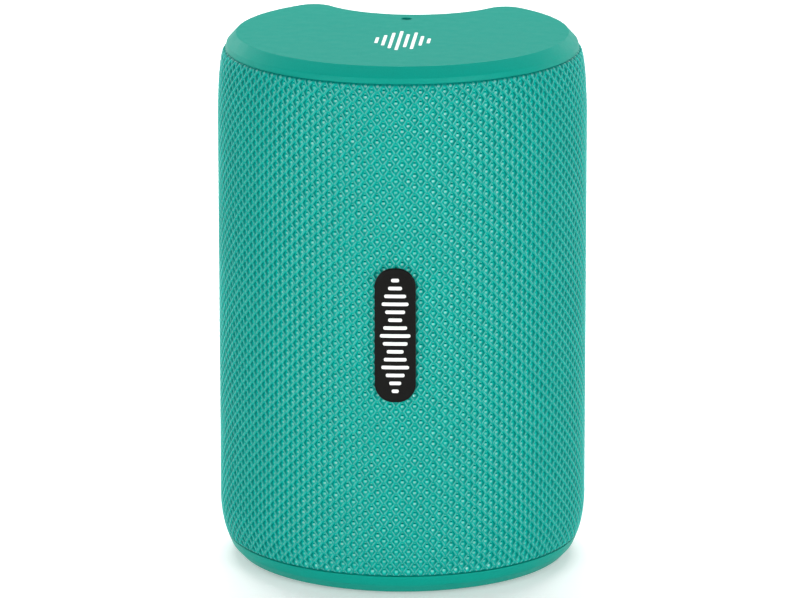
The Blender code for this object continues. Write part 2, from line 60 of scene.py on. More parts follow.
# ---- the plan and the profile, as the CAD has them --------------------------------------
R_BODY, SCOOP_Y, SCOOP_R, HORN_R = 38.0, 38.3, 17.75, 7.9
CAP_LIP, CAP_CREASE = 1.53, 3.74
PANEL_HALF_DEG = 41.5
Z_BASE = span("base_cap")[0][2]
Z_SEAM = span("base_cap")[1][2]
Z_CAP = 107.6
Z_TOP = span("top_cap")[1][2]
Z_FULL, Z_SHOULDER = 12.4, 92.6


def plan(inset, n_arc=150, n_horn=26, n_scoop=52):
    """The outline moved inwards by inset, as an (n, 2) array that always starts at the same place."""
    r, s = R_BODY - inset, SCOOP_R + inset
    f = max(HORN_R - inset, 1.2)
    a, b = r - f, s + f
    y = (a * a - b * b + SCOOP_Y**2) / (2 * SCOOP_Y)
    x = math.sqrt(a * a - y * y)
    out, back = math.atan2(y, x), math.atan2(SCOOP_Y - y, -x)
    t = math.pi - out + (math.pi + 2 * out) * np.arange(n_arc) / n_arc
    rows = [np.c_[r * np.cos(t), r * np.sin(t)]]
    t = out + (back - out) * np.arange(n_horn) / n_horn
    rows.append(np.c_[x + f * np.cos(t), y + f * np.sin(t)])
    half = math.pi - back
    t = -half - (math.pi - 2 * half) * np.arange(n_scoop) / n_scoop
    rows.append(np.c_[s * np.cos(t), SCOOP_Y + s * np.sin(t)])
    t = (math.pi - back) + (back - out) * np.arange(n_horn) / n_horn
    rows.append(np.c_[-x + f * np.cos(t), y + f * np.sin(t)])
    return np.concatenate(rows)


def side_inset(z):
    z = np.asarray(z, float)
    low = np.clip((Z_FULL - z) / (Z_FULL - Z_SEAM), 0, None)
    high = np.clip((z - Z_SHOULDER) / (Z_CAP - Z_SHOULDER), 0, 1)
    return 1.25 * low * low + CAP_LIP * (1 - np.sqrt(1 - high * high))


# ---- mesh helpers -----------------------------------------------------------------------
def new_object(name, verts, faces, mat, body="body", smooth=True, sharp=None):
    mesh = bpy.data.meshes.new(name)
    mesh.from_pydata([tuple(v) for v in np.asarray(verts) * MM], [], [tuple(f) for f in faces])
    mesh.update()
    obj = bpy.data.objects.new(name, mesh)
    bpy.context.scene.collection.objects.link(obj)
    if mat:
        mesh.materials.append(mat)
    if smooth:
        mesh.shade_smooth()
    if sharp:
        mesh.set_sharp_from_angle(angle=math.radians(sharp))
    if body:
        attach(obj, body)
    return obj


def grid_mesh(name, points, mat, wrap_u=False, body="body"):
    """A sheet through an (nu, nv, 3) array of points, made fast because it can be large."""
    nu, nv = points.shape[:2]
    iu, iv = np.meshgrid(np.arange(nu if wrap_u else nu - 1), np.arange(nv - 1), indexing="ij")
    a = iu * nv + iv
    b = ((iu + 1) % nu) * nv + iv
    quads = np.stack([a, b, b + 1, a + 1], -1).reshape(-1, 4)
    return quick_mesh(name, points.reshape(-1, 3), quads, mat, body)


def quick_mesh(name, verts, quads, mat, body="body"):
    mesh = bpy.data.meshes.new(name)
    mesh.vertices.add(len(verts))
    mesh.vertices.foreach_set("co", (np.asarray(verts) * MM).astype(np.float32).ravel())
    mesh.loops.add(quads.size)
    mesh.loops.foreach_set("vertex_index", quads.astype(np.int32).ravel())
    mesh.polygons.add(len(quads))
    mesh.polygons.foreach_set("loop_start", np.arange(0, quads.size, 4, dtype=np.int32))
    mesh.polygons.foreach_set("loop_total", np.full(len(quads), 4, np.int32))
    mesh.polygons.foreach_set("use_smooth", np.ones(len(quads), bool))
    mesh.update(calc_edges=True)
    obj = bpy.data.objects.new(name, mesh)
    bpy.context.scene.collection.objects.link(obj)
    mesh.materials.append(mat)
    if body:
        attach(obj, body)
    return obj


def corner(p0, p1, p2, radius, n=5):
    """Points that round the corner at p1 between p0 and p2."""
    p0, p1, p2 = (np.array(p, float) for p in (p0, p1, p2))
    u, v = (p0 - p1) / np.linalg.norm(p0 - p1), (p2 - p1) / np.linalg.norm(p2 - p1)
    angle = math.acos(np.clip(u @ v, -1, 1))
    reach = min(radius / math.tan(angle / 2), 0.45 * np.linalg.norm(p0 - p1), 0.45 * np.linalg.norm(p2 - p1))
    r = reach * math.tan(angle / 2)
    mid = p1 + (u + v) / np.linalg.norm(u + v) * r / math.sin(angle / 2)
    a, b = p1 + u * reach, p1 + v * reach
    out = []
    for i in range(n + 1):
        w = (a - mid) * (1 - i / n) + (b - mid) * i / n
        out.append(tuple(mid + w / np.linalg.norm(w) * r))
    return out


def rounded(profile, radii, n=5, closed=False):
    """profile with each corner rounded by its radius, 0 leaves it sharp."""
    out, count = [], len(profile)
    for i, (p, r) in enumerate(zip(profile, radii)):
        if r <= 0 or (not closed and i in (0, count - 1)):
            out.append(p)
        else:
            out += corner(profile[i - 1], p, profile[(i + 1) % count], r, n)
    return out


def shell(name, profile, mat, holes=(), body="body", counts=(150, 26, 52), sharp=35, underside=None):
    """A solid of the bean plan. profile is a list of (inset, z) from the middle of the top, outwards, down and inwards to the middle of the bottom.
    holes are (x, y, radius) that go through from the first ring's face to the last ring's."""
    rings = [np.c_[plan(d, *counts), np.full(sum(counts) + counts[1], z)] for d, z in profile]
    n = len(rings[0])
    bm = bmesh.new()
    loops = [[bm.verts.new(p * MM) for p in ring] for ring in rings]
    for upper, lower in zip(loops, loops[1:]):
        for i in range(n):
            j = (i + 1) % n
            bm.faces.new((upper[i], lower[i], lower[j], upper[j]))
    walls = []
    for x, y, r in holes:
        t = np.arange(40) / 40 * 2 * math.pi
        chamfer = 0.12
        levels = [(r + chamfer, profile[0][1]), (r, profile[0][1] - chamfer), (r, profile[-1][1])]
        walls.append([[bm.verts.new(((x + q * math.cos(k)) * MM, (y + q * math.sin(k)) * MM, z * MM)) for k in t] for q, z in levels])
        for upper, lower in zip(walls[-1], walls[-1][1:]):
            for i in range(40):
                j = (i + 1) % 40
                bm.faces.new((upper[i], upper[j], lower[j], lower[i]))
    for loop, level in ((loops[0], 0), (loops[-1], -1)):
        if not walls:
            bm.faces.new(loop if level else loop[::-1])
            continue
        edges = [bm.edges.get((loop[i], loop[(i + 1) % n])) for i in range(n)]
        for w in walls:
            edges += [bm.edges.get((w[level][i], w[level][(i + 1) % 40])) for i in range(40)]
        bmesh.ops.triangle_fill(bm, edges=edges, use_beauty=True)
    bmesh.ops.recalc_face_normals(bm, faces=bm.faces)
    mesh = bpy.data.meshes.new(name)
    bm.to_mesh(mesh)
    bm.free()
    obj = bpy.data.objects.new(name, mesh)
    bpy.context.scene.collection.objects.link(obj)
    mesh.materials.append(mat)
    mesh.shade_smooth()
    mesh.set_sharp_from_angle(angle=math.radians(sharp))
    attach(obj, body)
    return obj


# ---- materials --------------------------------------------------------------------------
class Tree:
    """A short way to write a node tree."""

    def __init__(self, name):
        self.mat = bpy.data.materials.new(name)
        self.mat.use_nodes = True
        self.nt = self.mat.node_tree
        self.bsdf = self.nt.nodes["Principled BSDF"]
        self.coords = self.node("ShaderNodeTexCoord").outputs["Object"]

    def node(self, kind, **settings):
        n = self.nt.nodes.new(kind)
        for key, value in settings.items():
            setattr(n, key, value)
        return n

    def put(self, socket, value):
        if isinstance(value, bpy.types.NodeSocket):
            self.nt.links.new(value, socket)
        else:
            socket.default_value = value

    def set(self, **inputs):
        for key, value in inputs.items():
            self.put(self.bsdf.inputs[key.replace("_", " ")], value)
        return self

    def noise(self, scale, detail=2.0, roughness=0.5, vector=None, distortion=0.0):
        n = self.node("ShaderNodeTexNoise")
        n.inputs["Scale"].default_value = scale
        n.inputs["Detail"].default_value = detail
        n.inputs["Roughness"].default_value = roughness
        n.inputs["Distortion"].default_value = distortion
        self.put(n.inputs["Vector"], vector or self.coords)
        return n.outputs["Fac"]

    def voronoi(self, scale, vector=None, feature="F1"):
        n = self.node("ShaderNodeTexVoronoi", feature=feature)
        n.inputs["Scale"].default_value = scale
        self.put(n.inputs["Vector"], vector or self.coords)
        return n.outputs["Distance"]

    def math(self, operation, a, b=0.0, c=None, clamp=False):
        n = self.node("ShaderNodeMath", operation=operation, use_clamp=clamp)
        self.put(n.inputs[0], a)
        self.put(n.inputs[1], b)
        if c is not None:
            self.put(n.inputs[2], c)
        return n.outputs[0]

    def remap(self, value, a, b, c, d, clamp=True):
        n = self.node("ShaderNodeMapRange", clamp=clamp)
        for i, v in enumerate((value, a, b, c, d)):
            self.put(n.inputs[i], v)
        return n.outputs[0]

    def step(self, value, a, b):
        """Smoothly from 0 at a to 1 at b."""
        n = self.node("ShaderNodeMapRange", interpolation_type="SMOOTHSTEP")
        for i, v in enumerate((value, a, b, 0.0, 1.0)):
            self.put(n.inputs[i], v)
        return n.outputs[0]

    def mix(self, factor, a, b):
        n = self.node("ShaderNodeMix", data_type="RGBA")
        self.put(n.inputs[0], factor)
        self.put(n.inputs[6], a)
        self.put(n.inputs[7], b)
        return n.outputs[2]

    def bump(self, height, strength, distance, normal=None):
        n = self.node("ShaderNodeBump")
        n.inputs["Strength"].default_value = strength
        n.inputs["Distance"].default_value = distance
        self.put(n.inputs["Height"], height)
        if normal:
            self.put(n.inputs["Normal"], normal)
        return n.outputs["Normal"]


def scaled(color, k):
    return (color[0] * k, color[1] * k, color[2] * k, 1.0)


def moulded(name, color, roughness=0.42, grain=0.012, specular=0.3, mottle=0.02, grain_scale=9000.0):
    """Moulded plastic: a very fine spark-eroded grain, and slow changes of tone and gloss."""
    t = Tree(name)
    fine = t.noise(grain_scale, 2.0, 0.6)
    broad = t.noise(60.0, 3.0)
    tone = t.mix(t.remap(broad, 0.3, 0.7, 0.0, 1.0), scaled(color, 1 - mottle), scaled(color, 1 + mottle))
    speck = t.mix(t.remap(fine, 0.35, 0.65, 0.0, 1.0), scaled(color, 0.93), scaled(color, 1.07))
    t.set(Base_Color=t.mix(0.5, tone, speck), Specular_IOR_Level=specular)
    t.set(Roughness=t.remap(t.noise(350.0, 3.0), 0.3, 0.7, roughness - 0.04, roughness + 0.05))
    t.set(Normal=t.bump(fine, 0.35, grain * MM))
    return t.mat


TEAL = (0.0003, 0.262, 0.204, 1.0)
plastic = moulded("satin_teal_plastic", TEAL, 0.48, 0.004, 0.09, 0.008, 3600.0)
panel_plastic = moulded("satin_teal_panel", scaled(TEAL, 0.96), 0.44, 0.014, 0.16, 0.02)


def rubber(name, color, roughness=0.62):
    """Silicone rubber: matt, with a dusty sheen and a soft mottle."""
    t = Tree(name)
    fine = t.noise(5200.0, 3.0, 0.65)
    dust = t.noise(1400.0, 4.0, 0.6)
    t.set(Base_Color=t.mix(t.remap(dust, 0.35, 0.7, 0.0, 1.0), scaled(color, 0.96), scaled(color, 1.05)))
    t.set(Roughness=t.remap(fine, 0.3, 0.7, roughness - 0.06, roughness + 0.08), Specular_IOR_Level=0.2)
    t.set(Sheen_Weight=0.04, Sheen_Roughness=0.5, Normal=t.bump(fine, 0.4, 0.015 * MM))
    return t.mat


button_rubber = rubber("teal_silicone", scaled(TEAL, 0.86))
flap_rubber = rubber("teal_flap_silicone", scaled(TEAL, 0.8), 0.66)
foot_rubber = rubber("teal_foot_rubber", scaled(TEAL, 0.62), 0.75)
black_rubber = rubber("black_rubber", (0.014, 0.014, 0.014, 1.0), 0.7)
white_print = moulded("white_print", (0.86, 0.87, 0.86, 1.0), 0.5, 0.004, 0.4, 0.02)
badge_black = moulded("badge_black", (0.005, 0.005, 0.0045, 1.0), 0.34, 0.006, 0.09, 0.05)
mic_dark = moulded("mic_mesh_dark", (0.0006, 0.11, 0.09, 1.0), 0.6, 0.03)


def knit(name, ground):
    """The cloth. The mesh carries the knit's lattice coordinates in its UV map, so the tone, the fibres and the gap in each pocket follow the loops."""
    t = Tree(name)
    uv = t.node("ShaderNodeUVMap", uv_map="lattice").outputs[0]
    sep = t.node("ShaderNodeSeparateXYZ")
    t.put(sep.inputs[0], uv)
    a, b = sep.outputs[0], sep.outputs[1]
    fibre = t.noise(2600.0, 4.0, 0.7, distortion=0.6)
    strand = t.noise(900.0, 3.0, 0.6)
    patch = t.noise(45.0, 3.0, 0.5)
    fluff = t.remap(fibre, 0.3, 0.7, 0.0, 1.0)
    normal = t.bump(fibre, 0.55, 0.05 * MM, t.bump(strand, 0.3, 0.08 * MM))
    if ground:

        def off(v, shift):
            return t.math("SUBTRACT", t.math("FRACT", t.math("ADD", v, 0.5 + shift)), 0.5)

        def within(da, db):
            """How far out of the pocket's middle, 1 at its edge."""
            return t.math("DIVIDE", t.math("ABSOLUTE", da), t.math("MULTIPLY_ADD", t.math("ABSOLUTE", db), -4 * SWING, MEAN + SWING))

        a1, b1, a2, b2 = off(a, 0.0), off(b, 0.0), off(a, 0.5), off(b, 0.5)
        e1, e2 = within(a1, b1), within(a2, b2)
        second = t.math("LESS_THAN", e2, e1)
        da = t.math("ADD", a1, t.math("MULTIPLY", second, t.math("SUBTRACT", a2, a1)))
        db = t.math("ADD", b1, t.math("MULTIPLY", second, t.math("SUBTRACT", b2, b1)))
        e = t.math("MINIMUM", e1, e2)
        # each pocket differs a little
        cell = t.node("ShaderNodeCombineXYZ")
        t.put(cell.inputs[0], t.math("ROUND", t.math("MULTIPLY", t.math("SUBTRACT", a, da), 2.0)))
        t.put(cell.inputs[1], t.math("ROUND", t.math("MULTIPLY", t.math("SUBTRACT", b, db), 2.0)))
        dice = t.node("ShaderNodeTexWhiteNoise", noise_dimensions="2D")
        t.put(dice.inputs["Vector"], cell.outputs[0])
        chance = dice.outputs["Value"]
        # painted shade: each pocket is painted deeper and darker towards its roof, and its walls darker still towards
        # the top, as shade inside the knit
        inside = t.step(e, 1.02, 0.72)
        painted_pocket_shade = t.math("MULTIPLY", inside, t.remap(db, -0.28, 0.30, 0.35, 1.0))
        painted_wall_shade = t.math("MULTIPLY", t.math("MULTIPLY", t.step(e, 0.45, 0.78), t.step(e, 1.16, 0.98)), t.step(t.math("ABSOLUTE", t.math("ADD", db, 0.02)), 0.40, 0.20))
        color = t.mix(fluff, scaled(KNIT_MID, 0.9), scaled(KNIT_MID, 1.12))
        # painted shade laid into the pockets and onto their walls
        color = t.mix(t.math("MULTIPLY", painted_pocket_shade, 0.85), color, KNIT_DEEP)
        color = t.mix(t.math("MULTIPLY", painted_wall_shade, t.remap(db, -0.4, 0.05, 0.55, 1.0)), color, KNIT_SHADE)
        # the gap between two loops, a flat lens across the pocket, sunk by the bump and painted dark as shade
        wide = t.math("POWER", t.math("ABSOLUTE", t.math("DIVIDE", da, 0.128)), 2.0)
        high = t.math("POWER", t.math("ABSOLUTE", t.math("DIVIDE", t.math("SUBTRACT", db, 0.13), 0.068)), 2.0)
        slit = t.math("MULTIPLY", t.step(t.math("ADD", wide, high), 1.25, 0.35), t.remap(chance, 0.0, 0.5, 0.45, 1.0))
        # the glossy loops on both sides of it, raised by the bump, their colour lightened as a painted glint
        narrow = t.math("POWER", t.math("ABSOLUTE", t.math("DIVIDE", da, 0.13)), 2.0)
        below = t.math("POWER", t.math("ABSOLUTE", t.math("DIVIDE", t.math("ADD", db, 0.055), 0.115)), 2.0)
        above = t.math("POWER", t.math("ABSOLUTE", t.math("DIVIDE", t.math("SUBTRACT", db, 0.255), 0.045)), 2.0)
        loop_low = t.step(t.math("ADD", narrow, below), 1.15, 0.45)
        loop_high = t.step(t.math("ADD", t.math("MULTIPLY", narrow, 2.0), above), 1.15, 0.45)
        loop = t.math("MAXIMUM", loop_low, loop_high)
        # painted highlight: the loops are painted lighter, towards KNIT_LIGHT
        painted_loop_glint = t.math("MULTIPLY", loop, t.remap(chance, 0.2, 1.0, 0.0, 0.5))
        color = t.mix(painted_loop_glint, color, KNIT_LIGHT)
        # painted shade: the gap is painted dark
        color = t.mix(t.math("MULTIPLY", slit, 0.92), color, KNIT_DARK)
        # painted shadow: the cloth is darkened along its top and bottom edges, as the shade under the cap's lip and
        # above the base
        hem = t.math("MAXIMUM", t.step(b, ROWS - 0.16, ROWS + 0.06), t.step(b, 0.32, 0.14))
        color = t.mix(t.math("MULTIPLY", hem, 0.8), color, KNIT_SHADE)
        rough = t.remap(loop, 0.0, 1.0, 0.5, 0.28)
        height = t.math("SUBTRACT", loop, t.math("MULTIPLY", slit, 1.2))
        normal = t.bump(height, 0.6, 0.12 * MM, normal)
        t.set(Specular_IOR_Level=t.math("MAXIMUM", t.remap(painted_pocket_shade, 0.0, 0.7, 0.12, 0.02), t.math("MULTIPLY", loop, t.remap(chance, 0.0, 1.0, 0.6, 1.0))), IOR=1.78)
    else:
        # a is 1 on the crown of the thread and 0 on its flanks. b runs from 0 at a pocket's widest point to 1 at the
        # next one up. Painted light and shade: the lower rim, half a turn below 0, is painted lighter, as if lit from
        # above, and the roof darker
        rim = t.math("FRACT", b)
        low = t.math("MULTIPLY", t.step(rim, 0.46, 0.62), t.step(rim, 1.02, 0.9))
        color = t.mix(low, t.mix(fluff, scaled(KNIT_DEEP, 0.84), scaled(KNIT_MID, 0.98)), t.mix(fluff, scaled(KNIT_LIGHT, 0.86), scaled(KNIT_LIGHT, 1.12)))
        # painted shade: the thread's flanks are painted darker than its crown
        crown = t.step(a, 0.05, 0.75)
        color = t.mix(crown, t.mix(fluff, scaled(KNIT_DEEP, 0.8), scaled(KNIT_DEEP, 1.0)), color)
        rough = t.remap(low, 0.0, 1.0, 0.5, 0.42)
        t.set(Specular_IOR_Level=t.math("MULTIPLY", crown, t.remap(low, 0.0, 1.0, 0.12, 0.6)))
    color = t.mix(t.remap(patch, 0.3, 0.7, 0.0, 0.10), color, scaled(KNIT_DEEP, 0.8))
    t.set(Base_Color=color, Roughness=rough, Normal=normal, Sheen_Roughness=0.45)
    t.bsdf.inputs["Sheen Tint"].default_value = (0.75, 1.0, 0.96, 1.0)
    return t.mat


COLUMNS, ROWS = 84, 45  # of pockets round the sleeve and up it
# a pocket's half width, in columns, swings between MEAN + SWING at its widest and MEAN - SWING where two pockets meet
MEAN, SWING = 0.182, 0.145
# KNIT_LIGHT also paints the highlights on the loops and the lit thread rims. KNIT_DEEP, KNIT_SHADE and KNIT_DARK also
# paint the shade in the pockets, on the thread flanks and roofs, along the hems and in the gaps
KNIT_LIGHT = (0.104, 0.475, 0.45, 1.0)
KNIT_MID = (0.010, 0.505, 0.434, 1.0)
KNIT_DEEP = (0.0004, 0.485, 0.397, 1.0)
KNIT_SHADE = (0.0003, 0.205, 0.172, 1.0)
KNIT_DARK = (0.0004, 0.12, 0.105, 1.0)
knit_ground = knit("air_mesh_ground", True)
knit_thread = knit("air_mesh_thread", False)


def backing_cloth():
    t = Tree("air_mesh_backing")
    fibre = t.noise(2200.0, 4.0, 0.7)
    t.set(Base_Color=t.mix(t.remap(fibre, 0.3, 0.7, 0.0, 1.0), scaled(KNIT_DARK, 1.2), scaled(KNIT_DEEP, 0.7)))
    t.set(Roughness=0.8, Normal=t.bump(fibre, 0.5, 0.05 * MM))
    return t.mat


# ---- the cloth --------------------------------------------------------------------------
def sleeve_path():
    """The sleeve's own path along the full-size outline, from one edge of the panel round the front to the other: points, inward normals and arc length, finely sampled."""
    f = HORN_R
    a, b = R_BODY - f, SCOOP_R + f
    y = (a * a - b * b + SCOOP_Y**2) / (2 * SCOOP_Y)
    x = math.sqrt(a * a - y * y)
    out, back = math.atan2(y, x), math.atan2(SCOOP_Y - y, -x)
    half = math.radians(PANEL_HALF_DEG + 0.85)
    pieces = []

    def arc(cx, cy, r, t0, t1, sign):
        n = max(8, int(abs(t1 - t0) * r / 0.05))
        t = np.linspace(t0, t1, n)
        c, s = np.cos(t), np.sin(t)
        pieces.append(np.c_[cx + r * c, cy + r * s, -sign * c, -sign * s])

    # left side of the scoop, left horn, the round, right horn, right side of the scoop, with +X last
    arc(0, SCOOP_Y, SCOOP_R, -math.pi / 2 - half, -math.pi + (math.pi - back), -1)
    arc(-x, y, f, math.pi - back, math.pi - out, 1)
    arc(0, 0, R_BODY, math.pi - out, 2 * math.pi + out, 1)
    arc(x, y, f, out, back, 1)
    arc(0, SCOOP_Y, SCOOP_R, -(math.pi - back), -math.pi / 2 + half, -1)
    p = np.concatenate(pieces)
    keep = np.r_[True, np.linalg.norm(np.diff(p[:, :2], axis=0), axis=1) > 1e-6]
    p = p[keep]
    s = np.r_[0, np.cumsum(np.linalg.norm(np.diff(p[:, :2], axis=0), axis=1))]
    return p, s


PATH, PATH_S = sleeve_path()
SLEEVE_LENGTH = PATH_S[-1]
CLOTH_Z0, CLOTH_Z1 = span("fabric_sleeve")[0][2] - 0.24, span("fabric_sleeve")[1][2] + 0.31
PITCH_U, PITCH_Z = SLEEVE_LENGTH / COLUMNS, (CLOTH_Z1 - CLOTH_Z0) / ROWS


def on_cloth(u, z, lift):
    """Points on the sleeve at arc length u and height z, raised by lift off the full surface."""
    u, z, lift = np.broadcast_arrays(u, z, lift)
    cols = [np.interp(u, PATH_S, PATH[:, k]) for k in range(4)]
    slope = (side_inset(z + 0.05) - side_inset(z - 0.05)) / 0.1  # how fast the side draws in
    k = 1 / np.sqrt(1 + slope**2)
    inset = side_inset(z) - lift * k
    # every edge of the cloth is tucked in
    edge = np.minimum(np.minimum(u, SLEEVE_LENGTH - u), np.minimum(z - CLOTH_Z0, CLOTH_Z1 - z))
    tuck = np.clip(1 - edge / 0.9, 0, 1)
    inset = inset + np.where(z > 50, 0.4, 0.22) * (1 - np.sqrt(1 - tuck**2))
    return np.stack([cols[0] + cols[2] * inset, cols[1] + cols[3] * inset, z + lift * k * slope], -1)


def pocket(a, b):
    """Depth of the ground knit, 0 on the flat and 1 in a pocket, at lattice coordinates a, b."""
    best = np.zeros(np.broadcast(a, b).shape)
    for shift in (0.0, 0.5):
        da = a - shift - np.round(a - shift)
        db = b - shift - np.round(b - shift)
        e = np.abs(da) / (MEAN + SWING - 4 * SWING * np.abs(db))
        k = np.clip((1.08 - e) / 0.75, 0, 1)
        best = np.maximum(best, k * k * (3 - 2 * k) * np.clip((0.5 - np.abs(db)) / 0.16, 0, 1))
    return best


def add_lattice_uv(obj, a, b, flat_a, flat_b):
    """lattice holds the knit's coordinates. OFBake lays the same piece out flat in the unit square."""
    mesh = obj.data
    index = np.empty(len(mesh.loops), np.int32)
    mesh.loops.foreach_get("vertex_index", index)
    for name, ua, ub in (("lattice", a, b), ("OFBake", flat_a * 0.99 + 0.005, flat_b * 0.99 + 0.005)):
        layer = mesh.uv_layers.new(name=name)
        flat = np.stack(np.broadcast_arrays(ua, ub), -1).reshape(-1, 2)[index]
        layer.data.foreach_set("uv", flat.astype(np.float32).ravel())
    mesh.uv_layers["lattice"].active_render = True


STEPS_U, STEPS_Z = 10, 8
GROUND_TOP, POCKET_DEPTH = -0.09, 0.60
SHIFT_B = 0.10  # how far below the middle of its row a pocket is widest
per = COLUMNS // 4
for part in range(4):
    a = (part * per + np.arange(per * STEPS_U + 1) / STEPS_U)[:, None]
    b = (np.arange(ROWS * STEPS_Z + 1) / STEPS_Z)[None, :]
    hem = np.clip(np.minimum(b, ROWS - b) * PITCH_Z / 0.9, 0, 1)  # the pockets run out at the hems
    lift = GROUND_TOP - POCKET_DEPTH * pocket(a, b + SHIFT_B) * hem
    g = grid_mesh(f"knit_ground_{part + 1}", on_cloth(a * PITCH_U, CLOTH_Z0 + b * PITCH_Z, lift), knit_ground)
    add_lattice_uv(g, a, b + SHIFT_B, (a - a.min()) / per, b / ROWS)


def threads(name, first, count, mat):
    """The raised threads. Two of them run up each column of pockets, one on either side: they draw together where the pockets meet and swing out round each one, the lower rim standing proudest."""
    steps = 8
    verts, quads, lattice, base = [], [], [], 0
    b = np.arange(ROWS * steps + 1) / steps
    b = b[(b >= 0.1) & (b <= ROWS - 0.1)]
    for i in range(first, first + count):
        for side_of in (-1, 1):
            phase = b + SHIFT_B - (0.0 if i % 2 == 0 else 0.5)
            wave = np.arcsin(0.985 * np.cos(2 * math.pi * phase)) / math.asin(0.985)
            # no two loops of a knit are quite alike
            drift = 0.011 * np.sin(2 * math.pi * (0.37 * b + 0.61 * i)) + 0.013 * np.sin(2 * math.pi * (1.83 * b + 0.83 * i))
            a = 0.5 * i + drift + side_of * (MEAN + SWING * wave * (1 + 0.07 * np.sin(2 * math.pi * (0.71 * b + 0.29 * i))))
            if a.min() * PITCH_U < 0.05 or a.max() * PITCH_U > SLEEVE_LENGTH - 0.05:
                continue
            low = np.clip(-np.sin(2 * math.pi * phase) * 1.5, -1, 1)  # 1 on the lower rim, -1 on the roof
            lift = 0.0 + 0.035 * low + 0.014 * np.sin(2 * math.pi * (0.93 * b + 0.47 * i) + side_of)
            thick = (0.092 + 0.016 * low) * (1 + 0.09 * np.sin(2 * math.pi * (1.31 * b + 0.53 * i) + 2 * side_of))
            centre = on_cloth(a * PITCH_U, CLOTH_Z0 + b * PITCH_Z, lift)
            ahead = np.gradient(centre, axis=0)
            ahead /= np.linalg.norm(ahead, axis=1)[:, None]
            outward = on_cloth(a * PITCH_U, CLOTH_Z0 + b * PITCH_Z, lift + 0.5) - centre
            outward /= np.linalg.norm(outward, axis=1)[:, None]
            side = np.cross(ahead, outward)
            side /= np.linalg.norm(side, axis=1)[:, None]
            thick = thick[:, None]
            ring = np.stack([centre + outward * thick, centre + side * thick, centre - outward * thick, centre - side * thick], 1)
            n = len(b)
            verts.append(ring.reshape(-1, 3))
            lattice.append(np.stack([np.tile([1.0, 0.0, -1.0, 0.0], n), np.repeat(phase + 40, 4), np.tile(np.arange(4) / 4, n) + (len(lattice)), np.repeat(b / ROWS, 4)], -1))
            k = np.arange(n - 1)[:, None] * 4
            j = np.arange(4)[None, :]
            q = np.stack([k + j, k + (j + 1) % 4, k + 4 + (j + 1) % 4, k + 4 + j], -1).reshape(-1, 4)
            ends = np.array([[3, 2, 1, 0], [(n - 1) * 4 + m for m in range(4)]])
            quads.append(np.concatenate([q, ends]) + base)
            base += 4 * n
    obj = quick_mesh(name, np.concatenate(verts), np.concatenate(quads), mat)
    uv = np.concatenate(lattice)
    add_lattice_uv(obj, uv[:, 0], uv[:, 1], uv[:, 2] / (len(lattice)), uv[:, 3])
    return obj


half_columns = COLUMNS * 2
for part in range(6):
    n = half_columns // 6
    threads(f"knit_threads_{part + 1}", part * n, n, knit_thread)

# the cloth's flat backing layer, under the pockets
nu, nz = 430, 90
u = np.linspace(0, SLEEVE_LENGTH, nu)[:, None]
z = np.linspace(CLOTH_Z0, CLOTH_Z1, nz)[None, :]
hem = np.clip(np.minimum(z - CLOTH_Z0, CLOTH_Z1 - z) / 0.8, 0, 1) + 0 * u  # at the hems it lies right behind the face
outer, inner = on_cloth(u, z, -0.36 - 0.56 * hem), on_cloth(u, z, -0.56 - 0.56 * hem)
verts = np.concatenate([outer.reshape(-1, 3), inner.reshape(-1, 3)])
iu, iz = np.meshgrid(np.arange(nu - 1), np.arange(nz - 1), indexing="ij")
a = (iu * nz + iz).ravel()
front = np.stack([a, a + nz, a + nz + 1, a + 1], -1)
back = np.stack([a + 1, a + nz + 1, a + nz, a], -1) + nu * nz
rim = [i * nz for i in range(nu)] + [(nu - 1) * nz + j for j in range(1, nz)]
rim += [i * nz + nz - 1 for i in range(nu - 2, -1, -1)] + [j for j in range(nz - 2, 0, -1)]
rim = np.array(rim)
nxt = np.roll(rim, -1)
sides = np.stack([rim, rim + nu * nz, nxt + nu * nz, nxt], -1)
backing = quick_mesh("fabric_backing", verts, np.concatenate([front, back, sides]), backing_cloth())
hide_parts("fabric_sleeve")

# ---- top cap ----------------------------------------------------------------------------
profile = [(CAP_CREASE + 0.8, Z_TOP), (CAP_CREASE, Z_TOP), (1.8, 108.8), (CAP_LIP, Z_CAP), (5.0, Z_CAP), (5.0, 103.8), (6.2, 103.8), (6.2, 108.9)]
cap = shell(
    "top_cap_visual",
    rounded(profile, [0, 0.28, 0.5, 0.16, 0, 0, 0, 0]),
    plastic,
    holes=[(0.0, 12.6, 1.1)],
)
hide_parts("top_cap")

# ---- base -------------------------------------------------------------------------------
profile = [(4.4, 2.9), (3.6, Z_SEAM), (1.28, Z_SEAM), (1.27, Z_SEAM - 0.25), (2.07, 2.65), (3.7, 0.9), (4.9, Z_BASE), (8.2, Z_BASE), (8.2, 1.3)]
base = shell("base_cap_visual", rounded(profile, [0, 0, 0.12, 0, 2.0, 1.4, 0.8, 0.25, 0], 8), plastic)
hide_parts("base_cap")
foot = shell("foot_pad_visual", rounded([(8.5, 1.2), (8.5, 0.5), (8.6, 0.0), (11.0, 0.0)], [0, 0, 0.3, 0]), foot_rubber)
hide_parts("foot_pad")


# ---- flat plates that are bent onto the body ----------------------------------------------
def circle(x, z, r, n=48):
    t = np.arange(n) / n * 2 * math.pi
    return np.c_[x + r * np.cos(t), z + r * np.sin(t)]


def round_polygon(points, radius, n=6):
    """A closed flat polygon with rounded corners. radius is one number or one per corner."""
    radii = [radius] * len(points) if np.isscalar(radius) else radius
    out = []
    for i, p in enumerate(points):
        out += corner(points[i - 1], p, points[(i + 1) % len(points)], radii[i], n) if radii[i] > 0 else [tuple(p)]
    return np.array(out)


def turned_ccw(loop):
    x, z = loop[:, 0], loop[:, 1]
    return loop if (x * np.roll(z, -1) - np.roll(x, -1) * z).sum() > 0 else loop[::-1]


